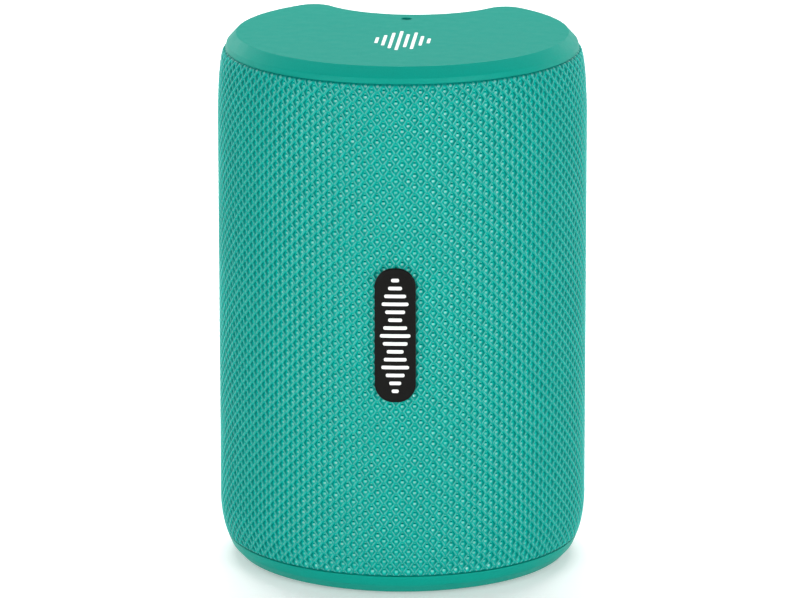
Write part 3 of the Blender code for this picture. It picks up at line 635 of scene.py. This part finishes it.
def shrink(loop, d):
    """A counter-clockwise loop moved inwards by d."""
    before, after = loop - np.roll(loop, 1, 0), np.roll(loop, -1, 0) - loop
    before /= np.linalg.norm(before, axis=1)[:, None] + 1e-12
    after /= np.linalg.norm(after, axis=1)[:, None] + 1e-12
    n = np.c_[-(before + after)[:, 1], (before + after)[:, 0]]
    n /= np.linalg.norm(n, axis=1)[:, None] + 1e-12
    miter = 1 / np.clip((n * np.c_[-after[:, 1], after[:, 0]]).sum(1), 0.5, 1)
    return loop + n * (d * miter)[:, None]


def plate(name, outer, holes, depth, mat, bend, body="body", edge=0.25, back_edge=0.0, pits=(), step=(0.6, 3.0), sharp=40, link=True):
    """A plate cut to the outer loop, with round-edged holes. It is modelled flat, as (s, t, depth), sliced finely and then bent by bend(s, t, depth).
    pits are (loop, pit depth, [holes in its floor])."""
    bm = bmesh.new()

    def ring(loop, d):
        return [bm.verts.new((p[0], p[1], d)) for p in loop]

    def sew(a, b):
        for i in range(len(a)):
            j = (i + 1) % len(a)
            bm.faces.new((a[i], a[j], b[j], b[i]))

    def rim(r):
        return [bm.edges.get((r[i], r[(i + 1) % len(r)])) or bm.edges.new((r[i], r[(i + 1) % len(r)])) for i in range(len(r))]

    def rounded_wall(loop, inwards, start, stop, e, e2=0.0):
        """Rings from start to stop with a rounded edge e at the start, and e2 at the stop."""
        levels = []
        if e > 0:
            for i in range(5):
                k = math.pi / 2 * i / 4
                levels.append((e * (1 - math.sin(k)), start + e * (1 - math.cos(k))))
        else:
            levels.append((0.0, start))
        if e2 > 0:
            for i in range(5):
                k = math.pi / 2 * i / 4
                levels.append((e2 * (1 - math.cos(k)), stop - e2 * (1 - math.sin(k))))
        else:
            levels.append((0.0, stop))
        rings = [ring(shrink(loop, inwards * off) if off else loop, d) for off, d in levels]
        for a, b in zip(rings, rings[1:]):
            sew(a, b)
        return rings[0], rings[-1]

    outer = turned_ccw(np.asarray(outer, float))
    front, back = [], []
    a, b = rounded_wall(outer, 1, 0.0, depth, edge, back_edge)
    front += rim(a)
    back += rim(b)
    for h in holes:
        a, b = rounded_wall(turned_ccw(np.asarray(h, float)), -1, 0.0, depth, edge)
        front += rim(a)
        back += rim(b)
    floors = []
    for loop, pit, inner in pits:
        a, b = rounded_wall(turned_ccw(np.asarray(loop, float)), -1, 0.0, pit, edge)
        front += rim(a)
        floor = rim(b)
        for h in inner:
            c, d = rounded_wall(turned_ccw(np.asarray(h, float)), -1, pit, depth, 0.1)
            floor += rim(c)
            back += rim(d)
        floors.append(floor)
    for edges in [front, back, *floors]:
        bmesh.ops.triangle_fill(bm, edges=edges, use_beauty=True)
    lo, hi = outer.min(0), outer.max(0)
    for axis, pitch in ((0, step[0]), (1, step[1])):
        n = int((hi[axis] - lo[axis]) / pitch)
        for i in range(1, n):
            at = lo[axis] + (hi[axis] - lo[axis]) * i / n
            point, normal = [0, 0, 0], [0, 0, 0]
            point[axis], normal[axis] = at, 1
            bmesh.ops.bisect_plane(bm, geom=bm.verts[:] + bm.edges[:] + bm.faces[:], plane_co=point, plane_no=normal, dist=1e-5)
    bmesh.ops.recalc_face_normals(bm, faces=bm.faces)
    for v in bm.verts:
        v.co = Vector(bend(*v.co)) * MM
    bmesh.ops.recalc_face_normals(bm, faces=bm.faces)
    mesh = bpy.data.meshes.new(name)
    bm.to_mesh(mesh)
    bm.free()
    obj = bpy.data.objects.new(name, mesh)
    mesh.materials.append(mat)
    mesh.shade_smooth()
    mesh.set_sharp_from_angle(angle=math.radians(sharp))
    if link:
        bpy.context.scene.collection.objects.link(obj)
        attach(obj, body)
    return obj


def on_front(radius):
    """Bends a plate onto the round front. s runs towards +X, t is height, depth goes inwards from the radius."""

    def bend(s, t, d):
        k = s / radius
        r = radius - d
        return r * math.sin(k), -r * math.cos(k), t

    return bend


def in_scoop(lift=0.0, follow=True):
    """Bends a plate onto the scoop's wall. s runs towards +X, t is height, depth goes into the body."""

    def bend(s, t, d):
        r = SCOOP_R - lift + d + (float(side_inset(t)) if follow else 0.0)
        k = s / SCOOP_R
        return r * math.sin(k), SCOOP_Y - r * math.cos(k), t

    return bend


def stroke(points, width, n=6):
    """The outline of a thick line with round ends."""
    p = np.array(points, float)
    d = np.gradient(p, axis=0)
    d /= np.linalg.norm(d, axis=1)[:, None]
    side = np.c_[-d[:, 1], d[:, 0]] * width / 2
    out = list(p + side)
    for at, heading, turn in ((p[-1], d[-1], 1), (p[0], -d[0], 1)):
        base = math.atan2(heading[1], heading[0])
        cap = [at + width / 2 * np.array([math.cos(base + math.pi / 2 - math.pi * i / n), math.sin(base + math.pi / 2 - math.pi * i / n)]) for i in range(1, n)]
        out += cap
        if at is p[-1] or np.allclose(at, p[-1]):
            out += list((p - side)[::-1])
    return np.array(out)


def bar(cx, cz, width, height, n=8):
    """An upright or flat bar with round ends."""
    r = min(width, height) / 2
    return round_polygon([(cx - width / 2, cz - height / 2), (cx + width / 2, cz - height / 2), (cx + width / 2, cz + height / 2), (cx - width / 2, cz + height / 2)], r * 0.999, n)


def merged(name, objects, body):
    """Several unlinked plates as one object."""
    bm = bmesh.new()
    for o in objects:
        bm.from_mesh(o.data)
    mesh = bpy.data.meshes.new(name)
    bm.to_mesh(mesh)
    bm.free()
    mesh.materials.append(objects[0].data.materials[0])
    for o in objects:
        bpy.data.objects.remove(o)
    mesh.shade_smooth()
    mesh.set_sharp_from_angle(angle=math.radians(40))
    obj = bpy.data.objects.new(name, mesh)
    bpy.context.scene.collection.objects.link(obj)
    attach(obj, body)
    return obj


# ---- badge on the front: a plain black plate with white level bars --------------------------
lo, hi = span("badge")
BX, BZ, BW, BH = (lo[0] + hi[0]) / 2, (lo[2] + hi[2]) / 2, hi[0] - lo[0], hi[2] - lo[2]
badge = plate("badge_plate", bar(BX, BZ, BW, BH, 14), [], 0.62, badge_black, on_front(R_BODY + 0.92), edge=0.22, step=(0.5, 2.0))
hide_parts("badge")
levels = [1.6, 2.8, 4.4, 5.4, 4.0, 2.8, 4.8, 6.2, 5.0, 3.4, 4.6, 5.6, 3.8, 2.4, 1.4]
marks = []
for i, w in enumerate(levels):
    zc = BZ + BH / 2 - 2.4 - i * (BH - 4.8) / (len(levels) - 1)
    marks.append(plate(f"mark_{i}", bar(BX, zc, w, 0.72), [], 0.12, white_print, on_front(R_BODY + 0.98), edge=0.04, step=(0.5, 3.0), link=False))
merged("badge_bars", marks, "body")

# a small level-meter mark printed on the top face
marks = []
ICON_X, ICON_Y = 0.75, -9.6
for i, length in enumerate([5.5, 10.0, 15.0, 18.4, 12.5, 16.0, 9.0, 4.5]):
    x = ICON_X + (i - 3.5) * 1.52
    marks.append(plate(f"top_mark_{i}", bar(x, ICON_Y, 0.68, length), [], 0.12, white_print, lambda s, t, d: (s, t, Z_TOP + 0.05 - d), edge=0.02, step=(3.0, 6.0), link=False))
merged("top_mark", marks, "body")

# ---- control panel ----------------------------------------------------------------------
lo, hi = span("back_panel")
half_s = math.radians(PANEL_HALF_DEG) * SCOOP_R
outer = round_polygon([(-half_s, lo[2]), (half_s, lo[2]), (half_s, hi[2]), (-half_s, hi[2])], 0.35, 4)
BUTTONS = {}
for node in ("power", "volume_up", "play", "volume_down", "pair"):
    low, high = span(f"button_{node}")
    BUTTONS[node] = (low[2] + high[2]) / 2
low, high = span("status_light_pipe")
LIGHT_Z = (low[2] + high[2]) / 2
low, high = span("usb_socket")
USB_Z = (low[2] + high[2]) / 2
low, high = span("aux_jack")
AUX_Z = (low[2] + high[2]) / 2
FLAP_Z0, FLAP_TAB_Z = span("port_flap")[0][2], span("port_flap")[1][2]
FLAP_Z1 = FLAP_Z0 + 17.8
deg = math.radians(1) * SCOOP_R


def flap_outline(gap, z1_gap):
    a, t = 19.2 * deg + gap, 8.0 * deg + gap
    z0, z1, z2 = FLAP_Z0 - gap, FLAP_Z1 + z1_gap, FLAP_TAB_Z + gap
    pts = [(-a, z0), (a, z0), (a, z1), (t, z1), (t, z2), (-t, z2), (-t, z1), (-a, z1)]
    return round_polygon(pts, [1.2 + gap, 1.2 + gap, 1.0, 0.35, 0.5, 0.5, 0.35, 1.0], 6)


recess = (flap_outline(0.28, 0.66), 1.8, [bar(0, USB_Z, 9.5, 3.85, 10), circle(0, AUX_Z, 3.25)])
panel = plate(
    "back_panel_visual",
    outer,
    [circle(0, z, 4.8, 64) for z in BUTTONS.values()] + [circle(0, LIGHT_Z, 1.25, 28)],
    3.2,
    panel_plastic,
    in_scoop(),
    edge=0.28,
    pits=[recess],
    step=(0.55, 2.6),
)
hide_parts("back_panel")

# ---- buttons ----------------------------------------------------------------------------
def spun(name, profile, x, y, z, mat, body, axis="Y", n=64, sharp=35):
    """A turned solid. profile is (radius, position along the axis), from the outer end's middle to the inner end's middle."""
    t = np.arange(n) / n * 2 * math.pi
    verts, rings = [], []
    for r, h in profile:
        if r < 1e-6:
            rings.append([len(verts)])
            verts.append((0.0, h, 0.0))
        else:
            rings.append(list(range(len(verts), len(verts) + n)))
            verts += [(r * math.cos(k), h, r * math.sin(k)) for k in t]
    faces = []
    for a, b in zip(rings, rings[1:]):
        for i in range(n):
            j = (i + 1) % n
            if len(a) == 1:
                faces.append((a[0], b[i], b[j]))
            elif len(b) == 1:
                faces.append((a[i], b[0], a[j]))
            else:
                faces.append((a[i], b[i], b[j], a[j]))
    verts = np.array(verts)
    if axis == "Z":
        verts = verts[:, [0, 2, 1]]
        faces = [f[::-1] for f in faces]
    verts = verts + np.array([x, y, z])
    obj = new_object(name, verts, faces, mat, body, sharp=sharp)
    bm = bmesh.new()
    bm.from_mesh(obj.data)
    bmesh.ops.recalc_face_normals(bm, faces=bm.faces)
    bm.to_mesh(obj.data)
    bm.free()
    return obj


def flat_mark(shapes, y, thickness, at_z, name):
    """Raised marks on a button's face. Shapes are drawn as seen from the back, so they are mirrored here."""
    parts = []
    for i, loop in enumerate(shapes):
        loop = np.asarray(loop, float).copy()
        loop[:, 0] *= -1
        parts.append(plate(f"{name}_{i}", loop, [], thickness, white_print, lambda s, t, d: (s, y - d, at_z + t), edge=0.035, step=(9, 9), link=False))
    return parts


def arc_line(cx, cz, r, a0, a1, n=20):
    t = np.radians(np.linspace(a0, a1, n))
    return np.c_[cx + r * np.cos(t), cz + r * np.sin(t)]


W = 0.46
SYMBOLS = {
    "power": [stroke(arc_line(0, -0.15, 1.55, 125, 415, 30), W), stroke([(0, 0.2), (0, 0.9), (0, 1.75)], W)],
    "volume_up": [round_polygon([(-W / 2, 1.7), (-W / 2, W / 2), (-1.7, W / 2), (-1.7, -W / 2), (-W / 2, -W / 2), (-W / 2, -1.7), (W / 2, -1.7), (W / 2, -W / 2), (1.7, -W / 2), (1.7, W / 2), (W / 2, W / 2), (W / 2, 1.7)], 0.1, 3)],
    "play": [round_polygon([(-1.75, -1.2), (0.25, 0.0), (-1.75, 1.2)], 0.2, 4), bar(0.95, 0, W, 2.4), bar(1.85, 0, W, 2.4)],
    "volume_down": [bar(0, 0, 3.4, W)],
    "pair": [circle(-1.35, -1.35, 0.34, 20), stroke(arc_line(-1.35, -1.35, 1.25, 8, 82, 12), W), stroke(arc_line(-1.35, -1.35, 2.1, 8, 82, 14), W), stroke(arc_line(-1.35, -1.35, 2.95, 10, 80, 16), W)],
}
profile = [(0, 21.72), (1.4, 21.71), (2.8, 21.65), (3.6, 21.52), (4.1, 21.33), (4.35, 21.12), (4.46, 20.85), (4.48, 20.4), (4.5, 17.0), (5.3, 17.0), (5.3, 16.2), (1.3, 16.2), (1.3, 14.4), (0, 14.4)]
for name, z in BUTTONS.items():
    body = f"{name}_button"
    face = spun(f"{name}_button_face", profile, 0, 0, z, button_rubber, body, n=72)
    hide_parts(f"button_{name}")
    merged(f"{name}_symbol", flat_mark(SYMBOLS[name], 21.80, 0.16, z, f"m_{name}"), body)

# ---- port flap --------------------------------------------------------------------------
flap_shape = flap_outline(0.0, 0.0)
flap = plate("port_flap_visual", flap_shape, [], 1.2, flap_rubber, in_scoop(-0.1, False), body="flap", edge=0.22, back_edge=0.15, step=(0.55, 3.0))
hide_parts("port_flap")
lips = []
for k in range(3):
    lips.append(plate(f"grip_{k}", bar(0, FLAP_Z0 + 1.7 + 1.1 * k, 6.5 - k, 0.55), [], 0.3, flap_rubber, in_scoop(0.12, False), edge=0.12, step=(0.8, 3.0), link=False))
merged("flap_grip_ribs", lips, "flap")

# ---- sockets, seen when the flap is open ----------------------------------------------------
def metal(name, color, roughness=0.28):
    t = Tree(name)
    grain = t.noise(1500.0, 2.0, 0.6)
    wear = t.noise(240.0, 4.0, 0.6)
    t.set(Base_Color=t.mix(t.remap(wear, 0.35, 0.7, 0.0, 1.0), scaled(color, 0.86), color), Metallic=1.0)
    t.set(Roughness=t.remap(grain, 0.3, 0.7, roughness - 0.06, roughness + 0.1), Normal=t.bump(grain, 0.25, 0.01 * MM))
    return t.mat


steel = metal("zinc_steel", (0.62, 0.62, 0.63, 1.0), 0.3)
gold = metal("contact_gold", (0.83, 0.6, 0.25, 1.0), 0.25)
dark_plastic = moulded("black_moulding", (0.012, 0.012, 0.012, 1.0), 0.48, 0.02)
lo, hi = span("usb_socket")
y0, y1 = lo[1], hi[1]


def tube_loop(outer, inner, name, mat, y_front, y_back, y_floor, body="body"):
    """A deep socket: an outer loop and an inner one of as many points, open at the front."""
    o, i = turned_ccw(np.asarray(outer)), turned_ccw(np.asarray(inner))
    rings = [(i, y_floor), (i, y_front - 0.12), (shrink(i, -0.1), y_front), (shrink(o, 0.12), y_front), (o, y_front - 0.14), (o, y_back)]
    verts = np.concatenate([np.c_[l[:, 0], np.full(len(l), y), l[:, 1]] for l, y in rings])
    n = len(o)
    faces = [tuple(range(n))[::-1]]
    for k in range(len(rings) - 1):
        for j in range(n):
            faces.append((k * n + j, k * n + (j + 1) % n, (k + 1) * n + (j + 1) % n, (k + 1) * n + j))
    faces.append(tuple(range((len(rings) - 1) * n, len(rings) * n)))
    obj = new_object(name, verts, faces, mat, body, sharp=35)
    bm = bmesh.new()
    bm.from_mesh(obj.data)
    bmesh.ops.recalc_face_normals(bm, faces=bm.faces)
    bm.to_mesh(obj.data)
    bm.free()
    return obj


usb = tube_loop(bar(0, USB_Z, 8.9, 3.2, 12), bar(0, USB_Z, 8.2, 2.5, 12), "usb_shell", steel, y1, y0, y0 + 1.9)
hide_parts("usb_socket")
tongue = plate("usb_tongue", bar(0, USB_Z, 6.6, 0.7, 6), [], 4.4, dark_plastic, lambda s, t, d: (s, y1 - 0.6 - d, t), edge=0.1, step=(9, 9))
pads = []
for side in (1, -1):
    for k in range(6):
        x = (k - 2.5) * 0.95
        z = USB_Z + side * 0.36
        pads.append(plate(f"pad_{side}_{k}", bar(x, 0, 0.34, 3.0, 2), [], 0.05, gold, lambda s, t, d, z=z: (s, y1 - 2.3 + t, z - 0.02 + d * 0.8), edge=0.0, step=(9, 9), link=False))
merged("usb_contacts", pads, "body")

lo, hi = span("aux_jack")
jack = spun("aux_jack_visual", [(0, 13.4), (1.8, 13.4), (1.8, 18.35), (1.95, 18.55), (2.1, 18.6), (2.75, 18.6), (2.9, 18.45), (2.9, 17.0), (3.2, 16.9), (3.2, 12.2), (0, 12.2)], 0, 0, AUX_Z, dark_plastic, "body", n=48)
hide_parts("aux_jack")
ring = spun("aux_contact_ring", [(1.72, 14.4), (1.72, 18.2), (1.79, 18.2), (1.79, 14.4), (1.72, 14.4)], 0, 0, AUX_Z, gold, "body", n=48)

t = Tree("light_guide")
t.set(Base_Color=t.mix(t.remap(t.noise(900.0, 2.0), 0.3, 0.7, 0, 1), (0.72, 0.8, 0.8, 1), (0.86, 0.9, 0.9, 1)), Roughness=0.22, Transmission_Weight=0.35, IOR=1.49)
t.set(Normal=t.bump(t.noise(1800.0, 2.0), 0.2, 0.01 * MM))
light = spun("status_light", [(0, 20.4), (0.6, 20.38), (0.86, 20.28), (0.95, 20.1), (0.95, 12.7), (0, 12.7)], 0, 0, LIGHT_Z, t.mat, "body", n=32)
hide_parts("status_light_pipe")

# the fine mesh behind the microphone's hole
dust = spun("microphone_mesh", [(0, 108.85), (1.5, 108.85), (1.5, 108.66), (0, 108.66)], 0, 12.6, 0, mic_dark, "body", axis="Z", n=32)

# ---- finishes for the CAD pieces that stay ---------------------------------------------------
def board():
    t = Tree("green_board")
    cells = t.voronoi(700.0, feature="DISTANCE_TO_EDGE")
    track = t.step(cells, 0.05, 0.09)
    fine = t.noise(2500.0, 2.0)
    t.set(Base_Color=t.mix(track, (0.012, 0.10, 0.035, 1), (0.006, 0.055, 0.02, 1)), Roughness=t.remap(fine, 0.3, 0.7, 0.28, 0.42))
    t.set(Normal=t.bump(track, 0.3, 0.02 * MM))
    return t.mat


def paper():
    t = Tree("cone_paper_pulp")
    fibre = t.noise(1600.0, 5.0, 0.7, distortion=1.2)
    t.set(Base_Color=t.mix(t.remap(fibre, 0.3, 0.7, 0, 1), (0.014, 0.014, 0.014, 1), (0.035, 0.034, 0.033, 1)), Roughness=0.82, Normal=t.bump(fibre, 0.6, 0.05 * MM))
    return t.mat


def cloth_ring():
    t = Tree("resin_cloth")
    wave = t.node("ShaderNodeTexWave", wave_type="BANDS")
    wave.inputs["Scale"].default_value = 900.0
    t.put(wave.inputs["Vector"], t.coords)
    t.set(Base_Color=t.mix(wave.outputs["Fac"], (0.42, 0.25, 0.06, 1), (0.55, 0.36, 0.11, 1)), Roughness=0.6, Normal=t.bump(wave.outputs["Fac"], 0.4, 0.04 * MM))
    return t.mat


FINISH = {
    "teal_plastic": plastic,
    "teal_fabric": knit_ground,
    "teal_rubber": button_rubber,
    "badge": badge_black,
    "black_plastic": dark_plastic,
    "black_rubber": black_rubber,
    "steel": steel,
    "ferrite": moulded("ferrite_ceramic", (0.03, 0.03, 0.033, 1), 0.62, 0.03, 0.4, 0.12),
    "cone_paper": paper(),
    "connector_plastic": moulded("nylon_white", (0.68, 0.66, 0.58, 1), 0.5, 0.01),
    "spider_cloth": cloth_ring(),
    "copper": metal("copper_winding", (0.8, 0.36, 0.16, 1), 0.32),
    "circuit_board": board(),
    "cell_wrap": moulded("shrink_sleeve", (0.02, 0.09, 0.36, 1), 0.25, 0.004),
    "light_pipe": light.data.materials[0],
    "red_wire": moulded("red_insulation", (0.5, 0.012, 0.01, 1), 0.38, 0.004),
    "black_wire": moulded("black_insulation", (0.01, 0.01, 0.01, 1), 0.38, 0.004),
}
slots = {s["node"]: s["material_slot"] for s in frame["record"]["subparts"]}
for node, obj in frame["nodes"].items():
    obj.data.materials.clear()
    obj.data.materials.append(FINISH[slots[node]])

# ---- stage ------------------------------------------------------------------------------
floor = new_object("floor", [(-6000, -6000, -0.02), (6000, -6000, -0.02), (6000, 6000, -0.02), (-6000, 6000, -0.02)], [(0, 1, 2, 3)], None, body=None, smooth=False)
t = Tree("pale_floor")
away = t.node("ShaderNodeSeparateXYZ")
t.put(away.inputs[0], t.coords)
painted_floor_light = t.step(away.outputs[1], -0.42, -0.04)  # painted light: the floor's colour and glow are brightest behind the speaker
distance = t.node("ShaderNodeVectorMath", operation="LENGTH")
t.put(distance.inputs[0], t.coords)
far = t.step(distance.outputs["Value"], 0.45, 1.7)  # painted light: far out, where the lights don't reach, the floor glows to stay as pale
near = t.remap(painted_floor_light, 0.0, 1.0, 0.08, 0.3)
glow = t.math("ADD", near, t.math("MULTIPLY", far, t.math("SUBTRACT", 0.74, near)))
t.set(Base_Color=t.mix(painted_floor_light, (0.72, 0.72, 0.72, 1), (0.86, 0.86, 0.86, 1)), Roughness=0.7, Specular_IOR_Level=0.1, Emission_Color=(1, 1, 1, 1), Emission_Strength=glow)
floor.data.materials.append(t.mat)

world = bpy.data.worlds.new("studio")
bpy.context.scene.world = world
world.use_nodes = True
nt = world.node_tree
coord = nt.nodes.new("ShaderNodeTexCoord")
sep = nt.nodes.new("ShaderNodeSeparateXYZ")
nt.links.new(coord.outputs["Generated"], sep.inputs[0])
ramp = nt.nodes.new("ShaderNodeValToRGB")
nt.links.new(sep.outputs["Z"], ramp.inputs["Fac"])
ramp.color_ramp.elements[0].position, ramp.color_ramp.elements[0].color = 0.075, (1.75, 1.75, 1.75, 1)
ramp.color_ramp.elements[1].position, ramp.color_ramp.elements[1].color = 0.9, (0.25, 0.25, 0.25, 1)
low = ramp.color_ramp.elements.new(0.15)
low.color = (0.55, 0.55, 0.55, 1)
mid = ramp.color_ramp.elements.new(0.38)
mid.color = (0.5, 0.5, 0.5, 1)
nt.links.new(ramp.outputs["Color"], nt.nodes["Background"].inputs["Color"])
nt.nodes["Background"].inputs["Strength"].default_value = 0.45

# ---- camera -----------------------------------------------------------------------------
YAW, TILT, ROLL = math.radians(4.0), 0.2519, -0.0009
DISTANCE, FOCAL = 32.717 * 38.0, 268.8
AIM = Vector((-0.53 * math.cos(YAW), -0.53 * math.sin(YAW), 53.95))
forward = Vector((-math.sin(YAW) * math.cos(TILT), math.cos(YAW) * math.cos(TILT), -math.sin(TILT)))
right = Vector((math.cos(YAW), math.sin(YAW), 0))
up = right.cross(forward)
right, up = math.cos(ROLL) * right + math.sin(ROLL) * up, -math.sin(ROLL) * right + math.cos(ROLL) * up
cam_data = bpy.data.cameras.new("camera")
cam_data.lens, cam_data.sensor_width, cam_data.clip_start, cam_data.clip_end = FOCAL, 36.0, 0.05, 50.0
cam = bpy.data.objects.new("camera", cam_data)
bpy.context.scene.collection.objects.link(cam)
place = (AIM - forward * DISTANCE) * MM
m = Matrix((right, up, -forward)).transposed().to_4x4()
m.translation = place
cam.matrix_world = m
bpy.context.scene.camera = cam


# ---- lights -----------------------------------------------------------------------------
def softbox(name, azimuth, elevation, distance, width, height, power, aim=(0, 0, 55), color=(1, 1, 1)):
    """A soft light, placed by its direction from the speaker. Azimuth 0 is at the camera's side, and grows to the right."""
    a, e = math.radians(azimuth) + YAW, math.radians(elevation)
    way = Vector((math.sin(a) * math.cos(e), -math.cos(a) * math.cos(e), math.sin(e)))
    data = bpy.data.lights.new(name, "AREA")
    data.shape, data.size, data.size_y, data.energy, data.color = "RECTANGLE", width * MM, height * MM, power, color
    obj = bpy.data.objects.new(name, data)
    bpy.context.scene.collection.objects.link(obj)
    obj.location = (Vector(aim) + way * distance) * MM
    obj.rotation_euler = (-way).to_track_quat("-Z", "Y").to_euler()
    return obj


softbox("left_strip", -41, 5, 900, 160, 300, 2.5)
softbox("right_strip", 40, 5, 900, 160, 300, 3.3)
softbox("front_fill", 0, 24, 1500, 1500, 900, 7.0)
softbox("left_edge", -114, 15, 900, 400, 700, 1.5)
softbox("right_edge", 114, 15, 900, 400, 700, 1.5)
softbox("top_wash", 180, 60, 1000, 900, 600, 13.2)
softbox("left_rear", -142, 18, 1000, 420, 420, 1.6)
softbox("right_rear", 146, 18, 1000, 420, 420, 1.0)

scene = bpy.context.scene
scene.view_settings.view_transform = "Standard"
scene.view_settings.look = "None"
